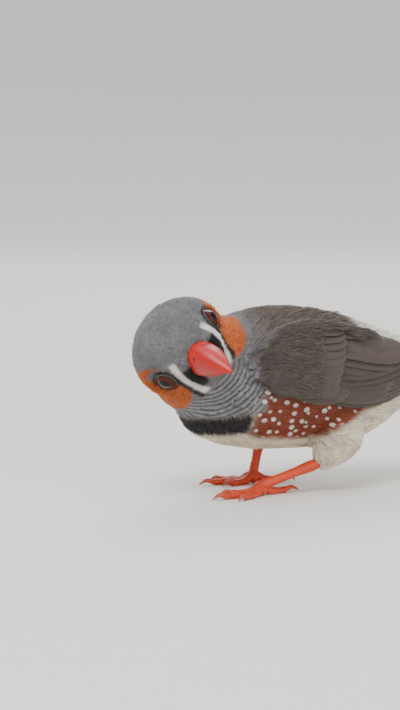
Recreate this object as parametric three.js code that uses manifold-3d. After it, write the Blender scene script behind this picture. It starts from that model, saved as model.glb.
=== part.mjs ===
// A male zebra finch, life size, standing low on both feet with its head turned to its left and tipped over.
// Millimetres, +Z up. The bird faces -X, its left side is -Y and the floor is Z = 0.
// Body, wings and tail share one chart, bodyPoint(x, q, lift): x along the body, q degrees round it from the
// middle of the back, and lift out from its surface. The head has a frame of its own: x to the bill, z up.
import * as THREE from "three";
import { mergeVertices } from "three/addons/utils/BufferGeometryUtils.js";
import Module from "manifold-3d";

const wasm = await Module();
wasm.setup();

// Driving sizes.
const GAP = 0.3; // between nodes that touch
const HEAD_CENTRE = new THREE.Vector3(-15.5, -3.9, 29.6);
const BILL_WAY = new THREE.Vector3(0.104, -0.983, -0.147); // where the bill points
const CROWN_WAY = new THREE.Vector3(-0.788, -0.175, 0.59); // where the crown points
const BILL_BASE = 7.6; // ahead of the head's centre
const BILL_LENGTH = 9.4;
const EYE_RADIUS = 2.3;
const EYE_PLACE = { ahead: 2.6, out: 6.5, up: 0.9 };
const EYE_TURN = 28; // degrees that each eye looks ahead of straight out
const TORSO_END = 38; // station where the tail begins
const TAIL_ROOT = new THREE.Vector3(36.5, 0, 24.3);
const TAIL_LENGTH = 38;
const TAIL_DROOP = 13; // degrees below level
const TARSUS_RADIUS = 0.9;

const FEET = {
  left: { side: -1, base: [0, -7], splay: -9, ankle: [13.2, -8.1, 6.1], knee: [17.6, -5.2, 15.5], thigh: 6 },
  right: { side: 1, base: [5.2, 7], splay: 7, ankle: [7.2, 7.6, 9.6], knee: [12.5, 5.4, 17], thigh: 5.4 },
};

// Body stations: x, half width, back height, belly height. The first is the front of the breast.
const BODY_STATIONS = [
  [-14.6, 0, 20, 20],
  [-13.6, 4.6, 25.2, 15],
  [-10.6, 8, 30.6, 11.6],
  [-5.5, 10.2, 34.6, 9.6],
  [0, 11.4, 36.4, 8.6],
  [6, 11.9, 37, 8.1],
  [12, 11.8, 36.6, 8.0],
  [18, 11.2, 35.5, 8.2],
  [24, 10.2, 33.8, 9.1],
  [30, 8.7, 31.6, 11.9],
  [36, 7.1, 29.4, 16.2],
  [41, 5.8, 27.3, 18.3],
  [46, 4.7, 25.2, 19.3],
  [52, 3.4, 22.6, 19.7],
  [57, 1.8, 20.4, 19.3],
];

// Head stations in the head's frame: ahead, half width, crown height, throat height.
const HEAD_STATIONS = [
  [-9.3, 0, 0, 0],
  [-8.6, 3.9, 3.9, -3.6],
  [-6.4, 7.6, 6.9, -6.3],
  [-3, 9.7, 8.6, -8.3],
  [0, 10.2, 8.9, -9],
  [3, 8.3, 8.2, -8.2],
  [5.6, 5.9, 6.3, -6.7],
  [7.3, 3.9, 3.9, -4.9],
];

const RADIAN = Math.PI / 180;

function mix(a, b, share) {
  return a + (b - a) * share;
}

function point(x, y, z) {
  return new THREE.Vector3(x, y, z);
}

// Catmull-Rom through rows of numbers; the row before the first mirrors its widths, so that a pole is round.
function rowAt(rows, u) {
  const last = rows.length - 1;
  const i = Math.min(Math.max(Math.floor(u), 0), last - 1);
  const t = u - i;
  const before = i > 0 ? rows[i - 1] : mirrored(rows[0], rows[1]);
  const after = i + 2 <= last ? rows[i + 2] : rows[last].map((v, k) => 2 * v - rows[last - 1][k]);
  return rows[i].map((b, k) => {
    const [a, c, d] = [before[k], rows[i + 1][k], after[k]];
    return b + 0.5 * t * (c - a + t * (2 * a - 5 * b + 4 * c - d + t * (3 * (b - c) + d - a)));
  });
}

function mirrored(first, second) {
  const [x, width, top, bottom] = second;
  const middle = 2 * first[2];
  return first[1] > 0 ? first.map((v, k) => 2 * v - second[k]) : [x, -width, middle - top, middle - bottom];
}

// The station that holds x, found by halving.
function stationOf(rows, x) {
  let [low, high] = [0, rows.length - 1];
  for (let step = 0; step < 30; step++) {
    const middle = (low + high) / 2;
    if (rowAt(rows, middle)[0] < x) low = middle;
    else high = middle;
  }
  return (low + high) / 2;
}

// A point on the oval of one station, q degrees from the top, lifted out; side is -1 on the bird's left.
function ovalPoint([x, width, top, bottom], q, lift, side = 1) {
  const middle = (top + bottom) / 2;
  const half = (top - bottom) / 2;
  const y = side * (width + lift) * Math.sin(q * RADIAN);
  return point(x, y, middle + (half + lift) * Math.cos(q * RADIAN));
}

function bodyPoint(x, q, lift, side = 1) {
  return ovalPoint(rowAt(BODY_STATIONS, stationOf(BODY_STATIONS, x)), q, lift, side);
}

// Closed meshes from grids of points.
function closedMesh(points, faces) {
  const geometry = new THREE.BufferGeometry();
  const numbers = new Float32Array(points.flatMap((p) => p.toArray()));
  geometry.setAttribute("position", new THREE.BufferAttribute(numbers, 3));
  let volume = 0;
  for (let i = 0; i < faces.length; i += 3) {
    const [a, b, c] = [points[faces[i]], points[faces[i + 1]], points[faces[i + 2]]];
    volume += a.dot(point(0, 0, 0).crossVectors(b, c));
  }
  geometry.setIndex(volume < 0 ? faces.slice().reverse() : faces);
  return geometry;
}

// Rings of points joined one after another, closed at both ends by a fan.
function loft(rings) {
  const count = rings[0].length;
  const points = rings.flat();
  const faces = [];
  for (let r = 0; r + 1 < rings.length; r++) {
    for (let i = 0; i < count; i++) {
      const [a, b] = [r * count + i, r * count + ((i + 1) % count)];
      faces.push(a, b, b + count, a, b + count, a + count);
    }
  }
  for (const [ring, first, turn] of [[rings[0], 0, 1], [rings.at(-1), (rings.length - 1) * count, 0]]) {
    const hub = points.length;
    points.push(ring.reduce((sum, p) => sum.add(p), point(0, 0, 0)).divideScalar(count));
    for (let i = 0; i < count; i++) {
      const [a, b] = [first + i, first + ((i + 1) % count)];
      faces.push(hub, turn ? b : a, turn ? a : b);
    }
  }
  return closedMesh(points, faces);
}

// A slab between two grids of points of the same size, with both faces split alike.
function slab(outer, inner) {
  const [rows, columns] = [outer.length, outer[0].length];
  const points = [...outer.flat(), ...inner.flat()];
  const far = rows * columns;
  const faces = [];
  for (let r = 0; r + 1 < rows; r++) {
    for (let c = 0; c + 1 < columns; c++) {
      const a = r * columns + c;
      const [b, d, e] = [a + 1, a + columns, a + columns + 1];
      faces.push(a, b, e, a, e, d, far + a, far + e, far + b, far + a, far + d, far + e);
    }
  }
  const rim = [];
  for (let c = 0; c < columns; c++) rim.push(c);
  for (let r = 1; r < rows; r++) rim.push(r * columns + columns - 1);
  for (let c = columns - 2; c >= 0; c--) rim.push((rows - 1) * columns + c);
  for (let r = rows - 2; r > 0; r--) rim.push(r * columns);
  rim.forEach((a, i) => {
    const b = rim[(i + 1) % rim.length];
    faces.push(b, a, far + a, b, far + a, far + b);
  });
  return closedMesh(points, faces);
}

// Solids for joining and cutting.
function solidOf(geometry) {
  const bare = geometry.clone();
  bare.deleteAttribute("normal");
  bare.deleteAttribute("uv");
  const merged = mergeVertices(bare, 1e-4);
  const vertProperties = new Float32Array(merged.attributes.position.array);
  const triVerts = new Uint32Array(merged.index.array);
  return new wasm.Manifold(new wasm.Mesh({ numProp: 3, vertProperties, triVerts }));
}

function joined(geometries) {
  return geometries.map(solidOf).reduce((whole, next) => whole.add(next));
}

// The largest closed surface of a solid, as a geometry.
function largest(solid) {
  const bodies = solid.decompose().sort((a, b) => b.volume() - a.volume());
  const mesh = bodies[0].getMesh();
  const geometry = new THREE.BufferGeometry();
  geometry.setAttribute("position", new THREE.BufferAttribute(new Float32Array(mesh.vertProperties), 3));
  geometry.setIndex(new THREE.BufferAttribute(new Uint32Array(mesh.triVerts), 1));
  return geometry;
}

// A round tube through points with a radius at each. Its rings lie across the path, turned to `level`.
function tube(path, radii, sides, level = point(0, 0, 1)) {
  const curve = new THREE.CatmullRomCurve3(path);
  const steps = radii.length - 1;
  const rings = radii.map((radius, i) => {
    const centre = curve.getPointAt(i / steps);
    const way = curve.getTangentAt(i / steps);
    const across = level.clone().cross(way).normalize();
    const up = way.clone().cross(across);
    return Array.from({ length: sides }, (_, k) => {
      const turn = (2 * Math.PI * (k + 0.5)) / sides;
      const spoke = across.clone().multiplyScalar(Math.cos(turn)).addScaledVector(up, Math.sin(turn));
      return centre.clone().addScaledVector(spoke, radius);
    });
  });
  return loft(rings);
}

// The oval rings of a row of stations between two of them.
function ovalRings(rows, from, to, count, sides, lift = 0) {
  return Array.from({ length: count }, (_, i) => {
    const row = rowAt(rows, mix(from, to, i / (count - 1)));
    const raised = row[1] > 0.01 ? lift : 0;
    return Array.from({ length: sides }, (_, k) => ovalPoint(row, (360 * k) / sides, raised));
  });
}

// The head's frame in the bird's.
const headSide = CROWN_WAY.clone().cross(BILL_WAY).normalize();
const headUp = BILL_WAY.clone().normalize().cross(headSide);
const headFrame = new THREE.Matrix4().makeBasis(BILL_WAY.clone().normalize(), headSide, headUp);
headFrame.setPosition(HEAD_CENTRE);

function inHeadFrame(geometry) {
  return geometry.applyMatrix4(headFrame);
}

// Flesh: torso, neck and head are modelled as one form and parted by thin cuts.
function torsoForm(lift = 0) {
  return loft(ovalRings(BODY_STATIONS, 0, stationOf(BODY_STATIONS, TORSO_END), 23, 30, lift));
}

function headForm() {
  return inHeadFrame(loft(ovalRings(HEAD_STATIONS, 0, HEAD_STATIONS.length - 1, 13, 26)));
}

const NECK_PATH = [point(-19.8, -1.7, 24.2), point(-8, -0.8, 25.6), point(4, 0, 26)];
const NECK_RADII = [3.6, 7.2, 8.8, 9.5, 9.8, 9.7, 9.3, 8.8, 8.2];

function neckForm(grow = 0) {
  return tube(NECK_PATH, NECK_RADII.map((radius) => radius + grow), 28);
}

// A block that fills everything past a plane through `place`, facing along `way`.
function beyond(place, way) {
  const block = new THREE.BoxGeometry(120, 120, 120).translate(0, 0, 60);
  block.applyQuaternion(new THREE.Quaternion().setFromUnitVectors(point(0, 0, 1), way.clone().normalize()));
  return solidOf(block.translate(place.x, place.y, place.z));
}

// The cuts that part head, neck and torso face down and back, so that the breast stays with the body.
const CUT_WAY = point(0.8, 0.16, -0.58).normalize();
const HEAD_CUT = HEAD_CENTRE.clone().addScaledVector(CUT_WAY, 7);
const TORSO_CUT = HEAD_CENTRE.clone().addScaledVector(CUT_WAY, 11.5);

// What belongs to one eye is modelled about the eye's own axis, then turned and set in the head.
function atEye(geometry, side) {
  geometry.rotateZ(-side * EYE_TURN * RADIAN);
  return inHeadFrame(geometry.translate(EYE_PLACE.ahead, side * EYE_PLACE.out, EYE_PLACE.up));
}

function eyeBall(side, grow = 0) {
  return atEye(new THREE.SphereGeometry(EYE_RADIUS + grow, 14, 10), side);
}

// The shallow dish round the eye, and the lids as a ring set in it.
function eyeDish(side) {
  return atEye(new THREE.SphereGeometry(1, 14, 8).scale(3.5, 1, 3.2).translate(0, side * 2.25, 0), side);
}

function eyeLids(side) {
  const ring = new THREE.TorusGeometry(EYE_RADIUS + 0.32, 0.42, 5, 16).scale(1, 0.9, 1).rotateX(Math.PI / 2);
  return atEye(ring.translate(0, side * 1.15, 0), side);
}

// The bill: stations from base to tip, with the mouth line's height beside the culmen's and the keel's.
const BILL_STATIONS = [
  { along: 0, width: 3.4, culmen: 3.5, mouth: -1.4, keel: -4.3 },
  { along: 0.2, width: 3.2, culmen: 3.2, mouth: -1.1, keel: -4 },
  { along: 0.45, width: 2.65, culmen: 2.4, mouth: -0.8, keel: -3.3 },
  { along: 0.7, width: 1.8, culmen: 1.2, mouth: -0.65, keel: -2.3 },
  { along: 0.88, width: 0.95, culmen: 0.15, mouth: -0.65, keel: -1.4 },
  { along: 1, width: 0.28, culmen: -0.6, mouth: -1.1, keel: -1.2 },
];

// One mandible: an arched section over the mouth line, `up` 1 for the upper and -1 for the lower.
function mandible(up) {
  const reach = up > 0 ? 1 : 0.93;
  const rings = BILL_STATIONS.map(({ along, width, culmen, mouth, keel }) => {
    const edge = mouth + (up * GAP) / 2;
    const height = Math.max(up > 0 ? culmen - edge : edge - keel, 0.2);
    const wide = up > 0 ? width : width * 0.9;
    const ahead = BILL_BASE + BILL_LENGTH * reach * along;
    const arch = Array.from({ length: 13 }, (_, k) => {
      const turn = (Math.PI * k) / 12;
      const rise = Math.pow(Math.sin(turn), 0.85) * height;
      return point(ahead, wide * Math.cos(turn) * (1 - 0.12 * Math.sin(turn)), edge + up * rise);
    });
    const floor = [-0.5, 0, 0.5].map((share) => point(ahead, wide * share, edge));
    return [...arch, ...floor];
  });
  return inHeadFrame(loft(rings));
}

function nostril(side) {
  const pit = new THREE.SphereGeometry(1, 10, 6).scale(0.75, 0.42, 0.5);
  return inHeadFrame(pit.translate(BILL_BASE + 1, side * 1.75, 2.7));
}

// Legs: each foot's toes are laid on the floor, and what reaches below it is trimmed to small flats.
const TOES = [
  { name: "hind", turn: 180, length: 6.3, lumps: 2, claw: 3.2 },
  { name: "inner", turn: 24, length: 6.2, lumps: 2, claw: 2.6 },
  { name: "middle", turn: 0, length: 9, lumps: 3, claw: 2.9 },
  { name: "outer", turn: -26, length: 6.8, lumps: 3, claw: 2.5 },
];

function hubOf(leg) {
  return point(leg.base[0], leg.base[1], 2);
}

function tarsusForm(leg, grow = 0) {
  const hub = hubOf(leg);
  const ankle = point(...leg.ankle);
  const path = [ankle.clone().lerp(hub, -0.06), ankle.clone().lerp(hub, 0.5), ankle.clone().lerp(hub, 0.93)];
  const radii = [0.5, 1.3, 1.25, 1.05, 1, 1, 1.05, 1.1].map((share) => share * TARSUS_RADIUS + grow);
  return tube(path, radii, 8, point(0, 1, 0));
}

function toeForms(leg, toe) {
  const hub = hubOf(leg);
  const turn = (leg.splay + leg.side * -toe.turn) * RADIAN;
  const way = point(-Math.cos(turn), Math.sin(turn), 0);
  const at = (reach, height) => hub.clone().addScaledVector(way, reach).setZ(height);
  const path = [at(-0.6, 2.1), at(0.9, 1.5), at(2.4, 0.66), at(toe.length * 0.7, 0.58), at(toe.length, 0.62)];
  const radii = Array.from({ length: 7 }, (_, i) => {
    const along = i / 6;
    return (mix(0.98, 0.62, along) + 0.07 * Math.cos(2 * Math.PI * toe.lumps * along)) * (i === 6 ? 0.8 : 1);
  });
  const end = toe.length - 0.3;
  const claw = (share, height) => at(end + toe.claw * share, height);
  const clawPath = [claw(0, 0.72), claw(0.45, 1.02), claw(0.85, 0.58), claw(1, 0.06)];
  return [tube(path, radii, 6), tube(clawPath, [0.5, 0.45, 0.32, 0.18], 5)];
}

function thighForm(leg) {
  const [knee, ankle] = [point(...leg.knee), point(...leg.ankle)];
  const path = [knee, knee.clone().lerp(ankle, 0.5).add(point(1, 0, 0)), ankle.clone().lerp(knee, 0.04)];
  return tube(path, [0.9, 1, 0.96, 0.82, 0.56, 0.3].map((share) => share * leg.thigh), 16, point(0, 1, 0));
}

// A feather: rows of three points from root to tip, [share of its length, share of its width], and a slab
// between its two faces. `place(along, across, height)` sets each point, and the shaft is raised.
const FLIGHT_ROWS = [[0, 0.4], [0.3, 0.95], [0.75, 1], [0.93, 0.75], [1, 0.3]];
const TAIL_ROWS = [[0, 0.4], [0.35, 0.9], [0.88, 1], [1, 0.5]];
const COVERT_ROWS = [[0, 0.6], [0.5, 1], [0.84, 0.82], [1, 0.25]];

function vane(place, width, rows, thick = 0.56) {
  const face = (height, shaft) => rows.map(([along, wide]) => [-1, 0, 1].map((edge) => (
    place(along, (edge * wide * width) / 2, height * (1 - 0.35 * along * along) + (edge ? 0 : shaft))
  )));
  return slab(face(thick / 2, 0.14), face(-thick / 2, 0));
}

// A feather of the folded wing, laid on the body's chart from `root` to `tip`, bowed down by `bow` degrees.
// Its lower edge stands a little proud, and its upper edge sinks under the feather above.
function flankVane(side, feather) {
  const { root, tip, bow, lift, width, rows } = feather;
  const place = (along, across, height) => {
    const x = mix(root[0], tip[0], along);
    const q = mix(root[1], tip[1], along) + bow * Math.sin(Math.PI * along);
    const [, half, top, bottom] = rowAt(BODY_STATIONS, stationOf(BODY_STATIONS, x));
    const radius = (half + (top - bottom) / 2) / 2 + lift[0];
    const fall = radius * RADIAN * (tip[1] - root[1] + bow * Math.PI * Math.cos(Math.PI * along));
    const run = tip[0] - root[0];
    const length = Math.hypot(run, fall);
    const ahead = x - (fall / length) * across;
    const round = q + ((run / length) * across) / (radius * RADIAN);
    return bodyPoint(ahead, round, mix(lift[0], lift[1], along) + height + 0.05 * across, side);
  };
  return vane(place, width, rows);
}

// One tier of `count` feathers; each driving value runs from its first to its last along the tier.
function tier(side, { count, rows, width, x0, q0, x1, q1, bow, rise, fall }) {
  return Array.from({ length: count }, (_, i) => {
    const at = ([first, last]) => mix(first, last, i / (count - 1));
    const [root, tip, lift] = [[at(x0), at(q0)], [at(x1), at(q1)], [at(rise), at(fall)]];
    return flankVane(side, { root, tip, bow: at(bow), lift, width: at(width), rows });
  });
}

const WING_TIERS = [
  { name: "primaries", count: 5, rows: FLIGHT_ROWS, width: [4.2, 4.4],
    x0: [5, 8], q0: [95, 86], x1: [44.4, 38.5], q1: [77, 63], bow: [14, 8],
    rise: [0.72, 1.1], fall: [0.66, 1] },
  { name: "inner primaries", count: 2, rows: FLIGHT_ROWS, width: [4.4, 4.4],
    x0: [9, 9.5], q0: [84, 81], x1: [35.8, 33.4], q1: [62, 61], bow: [7, 6],
    rise: [1.15, 1.25], fall: [1.05, 1.12] },
  { name: "secondaries", count: 5, rows: FLIGHT_ROWS, width: [5, 5.2],
    x0: [8, 5], q0: [89, 60], x1: [27, 31], q1: [93, 62], bow: [4, 1],
    rise: [1.3, 1.6], fall: [1.15, 1.3] },
  { name: "tertials", count: 3, rows: FLIGHT_ROWS, width: [6, 5.4],
    x0: [7, 5], q0: [56, 40], x1: [33, 25], q1: [55, 37], bow: [2, 0],
    rise: [1.65, 1.8], fall: [1.4, 1.6] },
  { name: "primary coverts", count: 2, rows: COVERT_ROWS, width: [3.2, 3.4],
    x0: [3.4, 5.4], q0: [96, 92], x1: [15.4, 19], q1: [101, 97], bow: [2, 2],
    rise: [1.1, 1.2], fall: [1.35, 1.5] },
  { name: "greater coverts", count: 6, rows: COVERT_ROWS, width: [4.8, 5],
    x0: [3, 3.8], q0: [91, 43], x1: [13.8, 17.4], q1: [93, 42], bow: [0, 0],
    rise: [1.4, 1.4], fall: [1.95, 2.1] },
  { name: "median coverts", count: 5, rows: COVERT_ROWS, width: [5, 5.2],
    x0: [0.2, 1.4], q0: [88, 48], x1: [8.8, 11.6], q1: [89, 46], bow: [0, 0],
    rise: [1.2, 1.2], fall: [2.35, 2.3] },
  { name: "lesser coverts", count: 4, rows: COVERT_ROWS, width: [5, 5.4],
    x0: [-2.8, -1.8], q0: [84, 59], x1: [4.6, 7.2], q1: [86, 54], bow: [0, 0],
    rise: [0.8, 0.9], fall: [2.1, 2.1] },
];

// The folded arm that carries the feathers: a dome over the side from the bend of the wing.
const ARM_OUTLINE = [[-3.4, 66, 86], [-1.6, 54, 93], [1.6, 43, 98], [6, 37, 101], [11, 35, 101], [15, 38, 98]];

function wingArm(side) {
  const grid = (lift) => ARM_OUTLINE.map(([x, high, low], r) => Array.from({ length: 7 }, (_, c) => {
    const round = Math.sin((Math.PI * c) / 6) * Math.sin((Math.PI * Math.min(r + 0.7, 3)) / 6);
    return bodyPoint(x, mix(low, high, c / 6), lift(Math.sqrt(round)), side);
  }));
  return slab(grid((dome) => 0.75 + 1.1 * dome), grid(() => 0.42));
}

function wingNode(side) {
  const feathers = WING_TIERS.flatMap((sizes) => tier(side, sizes));
  return largest(joined([wingArm(side), ...feathers]).subtract(torsoGrown));
}

// A feather of the tail, on the tail's own plane: `y` across it and `height` above it, each from root to tip.
function tailVane({ from, to, y, height, width, rows = COVERT_ROWS }) {
  const droop = TAIL_DROOP * RADIAN;
  const place = (along, across, rise) => {
    const [reach, aside] = [mix(from, to, along), mix(y[0], y[1], along) + across];
    const up = mix(height[0], height[1], along) + rise - 0.03 * aside * aside;
    return point(
      TAIL_ROOT.x + reach * Math.cos(droop) + up * Math.sin(droop),
      aside,
      TAIL_ROOT.z - reach * Math.sin(droop) + up * Math.cos(droop),
    );
  };
  return vane(place, width, rows);
}

// Twelve tail feathers, the middle pair on top, and the long coverts over and under their roots.
function tailNode() {
  const start = stationOf(BODY_STATIONS, TORSO_END + GAP);
  const cone = loft(ovalRings(BODY_STATIONS, start, BODY_STATIONS.length - 1, 8, 20, -0.55));
  const feathers = [];
  for (const side of [-1, 1]) {
    for (let pair = 0; pair < 6; pair++) {
      const layer = -0.3 * pair - (side > 0 ? 0.12 : 0);
      const length = TAIL_LENGTH - 0.5 * Math.pow(pair, 1.5);
      const y = [side * (0.4 + 0.28 * pair), side * (0.9 + 0.66 * pair)];
      const sizes = { from: 4, to: length, y, height: [layer, layer], width: 4.6, rows: TAIL_ROWS };
      feathers.push(tailVane(sizes));
    }
  }
  for (const [share, length] of [[-1, 15], [-0.5, 18], [0, 20], [0.5, 18.4], [1, 15.4]]) {
    const y = [2.2 * share, 4 * share];
    feathers.push(tailVane({ from: 3.4, to: length, y, height: [2.4, 0.62], width: 3.2 }));
  }
  for (const [share, length] of [[-1, 15], [0, 18], [1, 15.4]]) {
    const y = [1.6 * share, 3 * share];
    feathers.push(tailVane({ from: 3.4, to: length, y, height: [-3.4, -1.9], width: 4 }));
  }
  return largest(joined([cone, ...feathers]));
}

// The finished solids.
const flesh = joined([torsoForm(), neckForm(), headForm()]);
const torsoGrown = joined([torsoForm(GAP), neckForm(GAP)]);

function headNode() {
  let head = flesh.subtract(beyond(HEAD_CUT, CUT_WAY));
  for (const side of [-1, 1]) {
    head = head.subtract(solidOf(eyeDish(side))).add(solidOf(eyeLids(side)));
    head = head.subtract(solidOf(eyeBall(side, GAP)));
  }
  const front = beyond(point(BILL_BASE - GAP, 0, 0).applyMatrix4(headFrame), BILL_WAY);
  return largest(head.subtract(front));
}

function neckNode() {
  const front = beyond(HEAD_CUT.clone().addScaledVector(CUT_WAY, GAP), CUT_WAY.clone().negate());
  return largest(flesh.subtract(front).subtract(beyond(TORSO_CUT, CUT_WAY)));
}

function torsoNode() {
  const front = beyond(TORSO_CUT.clone().addScaledVector(CUT_WAY, GAP), CUT_WAY.clone().negate());
  return largest(flesh.subtract(front));
}

function thighNode(leg) {
  return largest(solidOf(thighForm(leg)).subtract(torsoGrown).subtract(solidOf(tarsusForm(leg, GAP))));
}

function footNode(leg) {
  const hub = hubOf(leg);
  const pad = new THREE.SphereGeometry(1.25, 10, 6).scale(1.1, 1, 0.85).translate(hub.x, hub.y, 1.15);
  const foot = joined([pad, ...TOES.flatMap((toe) => toeForms(leg, toe))]);
  const floor = beyond(point(hub.x, hub.y, 0), point(0, 0, -1));
  return largest(foot.subtract(floor).subtract(solidOf(tarsusForm(leg, GAP))));
}

// The scene graph.
const COLOURS = {
  plumage: new THREE.MeshStandardMaterial({ color: 0x8b8883, roughness: 0.9, metalness: 0 }),
  wing: new THREE.MeshStandardMaterial({ color: 0x6f665e, roughness: 0.85, metalness: 0 }),
  tail: new THREE.MeshStandardMaterial({ color: 0x1d1b1c, roughness: 0.8, metalness: 0 }),
  bill: new THREE.MeshStandardMaterial({ color: 0xd9401f, roughness: 0.35, metalness: 0 }),
  leg: new THREE.MeshStandardMaterial({ color: 0xdb6a35, roughness: 0.55, metalness: 0 }),
  eye: new THREE.MeshStandardMaterial({ color: 0x3a120c, roughness: 0.08, metalness: 0 }),
};

const bird = new THREE.Group();

function put(name, geometry, material) {
  const mesh = new THREE.Mesh(geometry, material);
  mesh.name = name;
  bird.add(mesh);
}

put("torso", torsoNode(), COLOURS.plumage);
put("neck", neckNode(), COLOURS.plumage);
put("head", headNode(), COLOURS.plumage);
put("bill_upper", largest(solidOf(mandible(1)).subtract(joined([nostril(-1), nostril(1)]))), COLOURS.bill);
put("bill_lower", mandible(-1), COLOURS.bill);
put("tail", tailNode(), COLOURS.tail);
for (const [name, leg] of Object.entries(FEET)) {
  put("eye_" + name, eyeBall(-leg.side), COLOURS.eye);
  put("wing_" + name, wingNode(leg.side), COLOURS.wing);
  put("thigh_" + name, thighNode(leg), COLOURS.plumage);
  put("tarsus_" + name, tarsusForm(leg), COLOURS.leg);
  put("foot_" + name, footNode(leg), COLOURS.leg);
}

// The origin is under the middle of the bird, on the floor.
const bounds = new THREE.Box3().setFromObject(bird);
const middle = bounds.getCenter(point(0, 0, 0));
bird.position.set(-middle.x, -middle.y, 0);

export default bird;
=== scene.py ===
"""A male zebra finch, life size, as a still museum model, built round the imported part.

Sizes are worked out in millimetres in the bird's own frame: it faces -X, its left is -Y and the floor is
Z = 0. They are written to the meshes in metres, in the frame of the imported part. Body, wings and tail share
a chart of x along the body and q degrees round it from the middle of the back. The head has its own frame.
"""
import math

import bpy
import numpy as np
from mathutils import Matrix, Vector


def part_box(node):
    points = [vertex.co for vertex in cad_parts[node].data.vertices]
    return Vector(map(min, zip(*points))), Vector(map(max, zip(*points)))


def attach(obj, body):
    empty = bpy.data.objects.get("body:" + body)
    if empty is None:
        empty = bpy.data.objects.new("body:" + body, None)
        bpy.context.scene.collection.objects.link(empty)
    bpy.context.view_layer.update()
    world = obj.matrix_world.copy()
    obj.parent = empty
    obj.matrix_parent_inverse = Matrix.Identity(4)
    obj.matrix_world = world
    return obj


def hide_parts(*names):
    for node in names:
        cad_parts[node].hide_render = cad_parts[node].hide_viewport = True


bl_info = {
    "name": "Zebra Finch",
    "version": (1, 0, 0),
    "blender": (4, 5, 0),
    "location": "View3D > Sidebar > Finch",
    "description": "Builds a life-size male zebra finch round its packed solids",
    "category": "Add Mesh",
}

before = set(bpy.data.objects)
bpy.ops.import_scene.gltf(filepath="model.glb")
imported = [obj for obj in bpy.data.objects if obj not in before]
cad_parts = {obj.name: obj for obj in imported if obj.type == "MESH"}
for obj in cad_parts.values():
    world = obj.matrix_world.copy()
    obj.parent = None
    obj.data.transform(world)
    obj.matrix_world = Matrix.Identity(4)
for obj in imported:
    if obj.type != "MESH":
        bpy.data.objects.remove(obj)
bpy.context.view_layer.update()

# Driving sizes, as in the part's source, in millimetres.
HEAD_CENTRE = np.array([-15.5, -3.9, 29.6])
BILL_WAY = np.array([0.104, -0.983, -0.147])
CROWN_WAY = np.array([-0.788, -0.175, 0.59])
BILL_BASE = 7.6
BILL_LENGTH = 9.4
EYE_RADIUS = 2.3
EYE_AHEAD, EYE_OUT, EYE_UP = 2.6, 6.5, 0.9
EYE_TURN = 28
TAIL_ROOT = np.array([36.5, 0, 24.3])
TAIL_LENGTH = 38
TAIL_DROOP = 13
TARSUS_RADIUS = 0.9
SOCKET_REACH = 0.85
SOCKET_RADIUS = 3.4
FLOOR_GAP = 0.02
ACROSS = np.array([0, 1, 0])
UPWARD = np.array([0, 0, 1])
FEET = {
    "left": dict(side=-1, base=(0, -7), splay=-9, ankle=(13.2, -8.1, 6.1), knee=(17.6, -5.2, 15.5), thigh=6),
    "right": dict(side=1, base=(5.2, 7), splay=7, ankle=(7.2, 7.6, 9.6), knee=(12.5, 5.4, 17), thigh=5.4),
}
# Body stations: x, half width, back height, belly height.
BODY = np.array([
    [-14.6, 0, 20, 20], [-13.6, 4.6, 25.2, 15], [-10.6, 8, 30.6, 11.6], [-5.5, 10.2, 34.6, 9.6],
    [0, 11.4, 36.4, 8.6], [6, 11.9, 37, 8.1], [12, 11.8, 36.6, 8], [18, 11.2, 35.5, 8.2],
    [24, 10.2, 33.8, 9.1], [30, 8.7, 31.6, 11.9], [36, 7.1, 29.4, 16.2], [41, 5.8, 27.3, 18.3],
    [46, 4.7, 25.2, 19.3], [52, 3.4, 22.6, 19.7], [57, 1.8, 20.4, 19.3],
])
# Head stations in the head's frame: ahead, half width, crown height, throat height.
HEAD = np.array([
    [-9.3, 0, 0, 0], [-8.6, 3.9, 3.9, -3.6], [-6.4, 7.6, 6.9, -6.3], [-3, 9.7, 8.6, -8.3],
    [0, 10.2, 8.9, -9], [3, 8.3, 8.2, -8.2], [5.6, 5.9, 6.3, -6.7], [7.3, 3.9, 3.9, -4.9],
])
# Bill stations: share of its length, half width, heights of culmen, mouth line and keel.
BILL = np.array([
    [0, 3.4, 3.5, -1.4, -4.3], [0.2, 3.2, 3.2, -1.1, -4], [0.45, 2.65, 2.4, -0.8, -3.3],
    [0.7, 1.8, 1.2, -0.65, -2.3], [0.88, 0.95, 0.15, -0.65, -1.4], [1, 0.28, -0.6, -1.1, -1.2],
])
NECK_PATH = np.array([[-19.8, -1.7, 24.2], [-8, -0.8, 25.6], [4, 0, 26]])
NECK_RADII = [3.6, 7.2, 8.8, 9.5, 9.8, 9.7, 9.3, 8.8, 8.2]

HEAD_AHEAD = BILL_WAY / np.linalg.norm(BILL_WAY)
HEAD_SIDE = np.cross(CROWN_WAY, HEAD_AHEAD)
HEAD_SIDE /= np.linalg.norm(HEAD_SIDE)
HEAD_UP = np.cross(HEAD_AHEAD, HEAD_SIDE)
HEAD_AXES = np.stack([HEAD_AHEAD, HEAD_SIDE, HEAD_UP])
BILL_ROOT = HEAD_CENTRE + BILL_BASE * HEAD_AHEAD


def eyes_middle():
    """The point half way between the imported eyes' boxes, in millimetres."""
    corners = [np.array(corner) for eye in ("eye_left", "eye_right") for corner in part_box(eye)]
    return 1000 * np.mean(corners, axis=0)


SHIFT = eyes_middle() - (HEAD_CENTRE + EYE_AHEAD * HEAD_AHEAD + EYE_UP * HEAD_UP)


def to_world(points):
    """Bird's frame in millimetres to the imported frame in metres: add the shift, divide by a thousand."""
    return (np.asarray(points, float) + SHIFT) / 1000


def linear(red, green, blue):
    """A display colour of 0 to 255 as linear light, by the usual 2.2 power."""
    return tuple((value / 255) ** 2.2 for value in (red, green, blue))


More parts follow.
